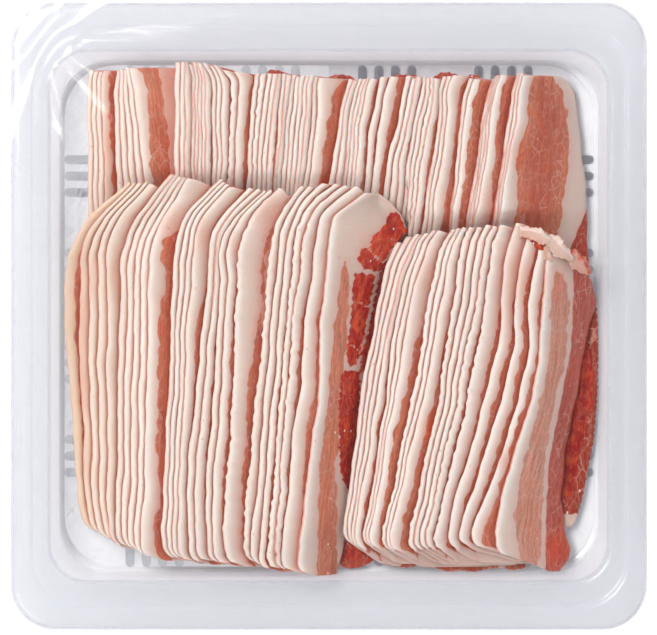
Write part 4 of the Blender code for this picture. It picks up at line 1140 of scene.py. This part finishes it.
def ribBars(make):
    # each bar: a dome whose outline is a slot with round ends, height sqrt(1 - share^2), foot inside
    # the floor
    turns = np.linspace(0, 2 * math.pi, 33)[:-1]
    shares = np.array([0.02, 0.3, 0.55, 0.75, 0.9, 1.0, 1.0])[:, None]
    heights = np.sqrt(np.clip(1 - shares**2, 0, 1)) * make["ribHeight"]
    heights[-1] = -0.4
    radius = make["ribWidth"] / 2
    run = make["ribLength"] / 2 - radius
    across = radius * np.cos(turns) * shares
    along = radius * np.sin(turns) * shares + run * np.sign(np.sin(turns + 0.01))
    z = make["sheet"] - 0.02 + heights
    sides, startCap, endCap = tubeQuads(len(shares), len(turns))
    quads = np.concatenate([sides[:, ::-1], startCap, endCap])
    bars = []
    for x, y, turned in ribPlaces(make):
        bar = triples(x + along, y + across, z)[:, ::-1] if turned else triples(x + across, y + along, z)
        bars.append((bar.reshape(-1, 3), quads))
    return joined(bars)


plasticLook = {
    "tray": {"colour": srgb(225, 225, 230), "solid": 0.20, "edge": 0.34, "shadow": 0.12,
             "gloss": 0.14, "ior": 1.42, "mostMirror": 0.08,
             "lip": {"colour": srgb(186, 188, 197), "solid": 0.34, "from": 0.036, "to": 0.0395}},
    "rib": {"colour": srgb(216, 213, 234), "solid": 0.04, "edge": 0.20, "shadow": 0.12,
            "gloss": 0.16, "ior": 1.40, "mostMirror": 0.01},
    "film": {"colour": srgb(250, 251, 255), "solid": 0.0, "edge": 0.07, "shadow": 0.4,
             "gloss": 0.19, "ior": 1.5, "mostMirror": 0.07},
}


def plasticMaterial(name, look):
    # see-through sheet: mostly plain transparency, some white that lets light through it, and a
    # fresnel gloss
    material, n = newMaterial(name)
    facing = n.add("ShaderNodeLayerWeight", {"Blend": 0.35}).outputs["Facing"]
    solid = n.plus(n.times(facing, look["edge"]), look["solid"], True)
    colour = look["colour"]
    if "lip" in look:
        # the lip keeps the full thickness of the sheet that the walls and the floor are drawn from
        lip = look["lip"]
        spot = n.add("ShaderNodeTexCoord").outputs["Object"]
        height = n.add("ShaderNodeSeparateXYZ", {"Vector": spot}).outputs["Z"]
        onLip = n.step(height, lip["from"], lip["to"])
        solid = n.plus(n.times(onLip, lip["solid"] - look["solid"]), solid, True)
        colour = n.mix(onLip, look["colour"], lip["colour"])
    # its shadow is fainter than it looks
    shadow = n.add("ShaderNodeLightPath").outputs["Is Shadow Ray"]
    solid = n.times(solid, n.minus(1.0, n.times(shadow, 1 - look["shadow"])))
    front = n.add("ShaderNodeBsdfDiffuse", {"Color": colour}).outputs[0]
    through = n.add("ShaderNodeBsdfTranslucent", {"Color": colour}).outputs[0]
    white = n.add("ShaderNodeMixShader", {0: 0.5, 1: front, 2: through}).outputs[0]
    clear = n.add("ShaderNodeBsdfTransparent").outputs[0]
    sheet = n.add("ShaderNodeMixShader", {0: solid, 1: clear, 2: white}).outputs[0]
    shine = n.add("ShaderNodeBsdfGlossy", {"Roughness": look["gloss"]}).outputs[0]
    mirror = n.least(n.add("ShaderNodeFresnel", {"IOR": look["ior"]}).outputs[0], look["mostMirror"])
    both = n.add("ShaderNodeMixShader", {0: mirror, 1: sheet, 2: shine}).outputs[0]
    n.add("ShaderNodeOutputMaterial", {"Surface": both})
    return material


trayFinish = plasticMaterial("milkyTray", plasticLook["tray"])
ribFinish = plasticMaterial("milkyRibs", plasticLook["rib"])
filmFinish = plasticMaterial("clearFilm", plasticLook["film"])
meshFrom("trayShell", *trayShell(trayRings, trayMake), "tray_plastic", trayFinish, ("tray",))
meshFrom("trayRibs", *ribBars(trayMake), "tray_plastic", ribFinish)
print("tray ready")


# the lid film

filmMake = {
    "width": 296.2,
    "depth": 292.2,
    "middle": (-0.3, -0.2),
    "corner": 20.0,
    "closeLines": 86,     # grid lines over the wrinkled share, and over the rest
    "openLines": 98,
    "wrinkled": 0.4,
    "top": 42.05,
    "sag": 1.6,
    "thickness": 0.12,
    "overhang": 0.9,
    "fanFrom": (-132, 128),   # the corner that the creases fan out from
    "fanReach": (8, 92),
    "ringsAt": (-104, 100),   # the middle of the rings of small wrinkles
    "ringReach": (22, 60),
    "ringGap": 5.2,
    "ringHeight": 0.08,
    # each fold's two ends, height and width
    "folds": (((-121, 124), (-107, 114), 0.55, 2.2), ((-136, 104), (-121, 76), 0.3, 1.8),
              ((-127, 117), (-113, 111), 0.3, 1.2), ((-134, 96), (-126, 70), 0.25, 1.4),
              ((-100, 134), (-60, 131.5), 0.12, 1.5), ((-62, -135.5), (24, -134.2), 0.34, 1.2),
              ((137, -60), (136, 30), 0.3, 1.2), ((-140, -110), (-141, -40), 0.3, 1.3),
              ((-50, 139), (60, 139.5), 0.3, 1.3)),
}


def outward(x, y, make):
    # 0 in the film's middle, 1 on its square border
    return np.maximum(np.abs(x) / (make["width"] / 2), np.abs(y) / (make["depth"] / 2))


def filmHeight(x, y, make):
    # level over the flange, sagging inside it, with creases fanning in from the upper left corner,
    # rings of small wrinkles over that corner, and a few long folds
    z = make["top"] - make["sag"] * smoothStep((0.86 - outward(x, y, make)) / 0.5)
    (fanX, fanY), (fanStart, fanStop) = make["fanFrom"], make["fanReach"]
    off, angle = np.hypot(x - fanX, y - fanY), np.arctan2(-(y - fanY), x - fanX)
    creases = np.sin(angle * 11 + 0.6) * 0.55 + np.sin(angle * 23 + 2.0) * 0.25
    near = smoothStep((off - fanStart) / 16) * smoothStep((fanStop - off) / 60)
    z = z + creases * near * 0.9 * smoothStep(off / 40)
    (ringX, ringY), (ringStart, ringStop) = make["ringsAt"], make["ringReach"]
    off, turn = np.hypot(x - ringX, y - ringY), np.arctan2(y - ringY, ringX - x)
    over = smoothStep((off - ringStart) / 6) * smoothStep((ringStop - off) / 6)
    over = over * np.exp(-((turn - 0.95) / 0.62) ** 2)
    bent = 1.6 * np.sin(3 * turn) + 0.8 * np.sin(x * 0.31)
    z = z + make["ringHeight"] * np.sin(2 * math.pi * off / make["ringGap"] + bent) * over
    for (ax, ay), (bx, by), height, width in make["folds"]:
        # a fold: height * exp(-(d / width)^2), fading towards both ends
        dx, dy = bx - ax, by - ay
        t = ((x - ax) * dx + (y - ay) * dy) / (dx * dx + dy * dy)
        away = ((x - ax) * dy - (y - ay) * dx) / math.hypot(dx, dy)
        fade = smoothStep(t / 0.2 + 0.5) * smoothStep((1 - t) / 0.2 + 0.5)
        z = z + height * np.exp(-(away / width) ** 2) * fade
    return z


def filmSheet(make):
    # a square grid with its corners drawn in to quarter circles, its border let out in waves, closed
    # below
    split = -1 + make["wrinkled"]
    closeBy = np.linspace(-1, split, make["closeLines"])
    lines = np.concatenate([closeBy, np.linspace(split, 1, make["openLines"])[1:]])
    count = len(lines)
    x = np.tile(lines * make["width"] / 2, (count, 1))
    y = np.tile(-lines[::-1, None] * make["depth"] / 2, (1, count))
    corner = make["corner"]
    a = np.clip((np.abs(x) - make["width"] / 2 + corner) / corner, 0, 1)
    b = np.clip((np.abs(y) - make["depth"] / 2 + corner) / corner, 0, 1)
    x = x - np.sign(x) * corner * (a - a * np.sqrt(1 - b * b / 2))
    y = y - np.sign(y) * corner * (b - b * np.sqrt(1 - a * a / 2))
    turn = np.arctan2(y, x)
    ripple = 0.7 + 0.5 * (0.6 * np.sin(5 * turn + 0.8) + 0.4 * np.sin(11 * turn))
    reach = 1 + make["overhang"] * ripple / 150 * smoothStep((outward(x, y, make) - 0.93) / 0.07)
    x, y = x * reach, y * reach
    upper = triples(x + make["middle"][0], y + make["middle"][1], filmHeight(x, y, make)).reshape(-1, 3)
    lower = upper - (0, 0, make["thickness"])
    faces = gridQuads(count, count)
    index = np.arange(count * count).reshape(count, count)
    rim = np.concatenate([index[0], index[1:, -1], index[-1, -2::-1], index[-2:0:-1, 0]])
    nextRim = np.roll(rim, -1)
    sides = np.stack([rim, rim + index.size, nextRim + index.size, nextRim], axis=-1)
    return np.concatenate([upper, lower]), np.concatenate([faces, faces[:, ::-1] + index.size, sides])


meshFrom("lidFilm", *filmSheet(filmMake), "lid_film", filmFinish, ("lid_film",))
print("film ready")


# stage and light

stageLook = {"floor": srgb(255, 255, 255), "roughness": 0.9, "size": 3.0}


def addStage(look):
    # a flat square well past the picture's edge
    half = look["size"] / 2
    mesh = bpy.data.meshes.new("tableTop")
    corners = [(-half, -half, 0), (half, -half, 0), (half, half, 0), (-half, half, 0)]
    mesh.from_pydata(corners, [], [(0, 1, 2, 3)])
    floor = bpy.data.objects.new("tableTop", mesh)
    bpy.context.scene.collection.objects.link(floor)
    material = bpy.data.materials.new("paleTable")
    material.use_nodes = True
    shader = material.node_tree.nodes["Principled BSDF"]
    shader.inputs["Base Color"].default_value = look["floor"]
    shader.inputs["Roughness"].default_value = look["roughness"]
    mesh.materials.append(material)


softboxes = {
    "key": {"place": (-0.66, 0.55, 1.7), "size": 0.7, "power": 22.5, "colour": (1.0, 0.99, 0.975)},
    "fill": {"place": (1.3, -0.5, 1.6), "size": 1.6, "power": 2.5, "colour": (0.95, 0.98, 1.0)},
    "edge": {"place": (-0.82, -0.72, 2.4), "size": 0.5, "power": 6, "colour": (1.0, 0.97, 0.93)},
}
# dim straight overhead, where the ceiling and the camera are, bright all round, and brighter on the
# left
roomLight = {
    "overhead": (0.10, 0.102, 0.107, 1),
    "around": (1.07, 1.09, 1.13, 1),
    "left": 1.42,
    "right": 0.69,
}


def addSoftbox(name, one):
    # a square lamp that faces the origin
    lamp = bpy.data.lights.new(name + "Softbox", "AREA")
    lamp.shape = "SQUARE"
    lamp.size = one["size"]
    lamp.energy = one["power"]
    lamp.color = one["colour"]
    light = bpy.data.objects.new(name + "Softbox", lamp)
    x, y, z = light.location = one["place"]
    light.rotation_euler = (math.atan2(math.hypot(x, y), z), 0, math.atan2(x, -y))
    bpy.context.scene.collection.objects.link(light)


def addRoom(look):
    world = bpy.data.worlds.new("softRoom")
    world.use_nodes = True
    n = nodeTools(world.node_tree)
    background = world.node_tree.nodes["Background"]
    place = n.add("ShaderNodeTexCoord").outputs["Generated"]
    x, _, z = n.add("ShaderNodeSeparateXYZ", {"Vector": place}).outputs
    sky = n.mix(n.step(z, 0.98, 0.6), look["overhead"], look["around"])
    side = n.add("ShaderNodeMapRange", {
        "Value": x, "From Min": -1.0, "From Max": 1.0, "To Min": look["left"], "To Max": look["right"],
    })
    world.node_tree.links.new(sky, background.inputs["Color"])
    world.node_tree.links.new(side.outputs["Result"], background.inputs["Strength"])
    bpy.context.scene.world = world


addStage(stageLook)
for name, one in softboxes.items():
    addSoftbox(name, one)
addRoom(roomLight)
bpy.context.scene.view_settings.view_transform = "Standard"
print("stage and lights ready")
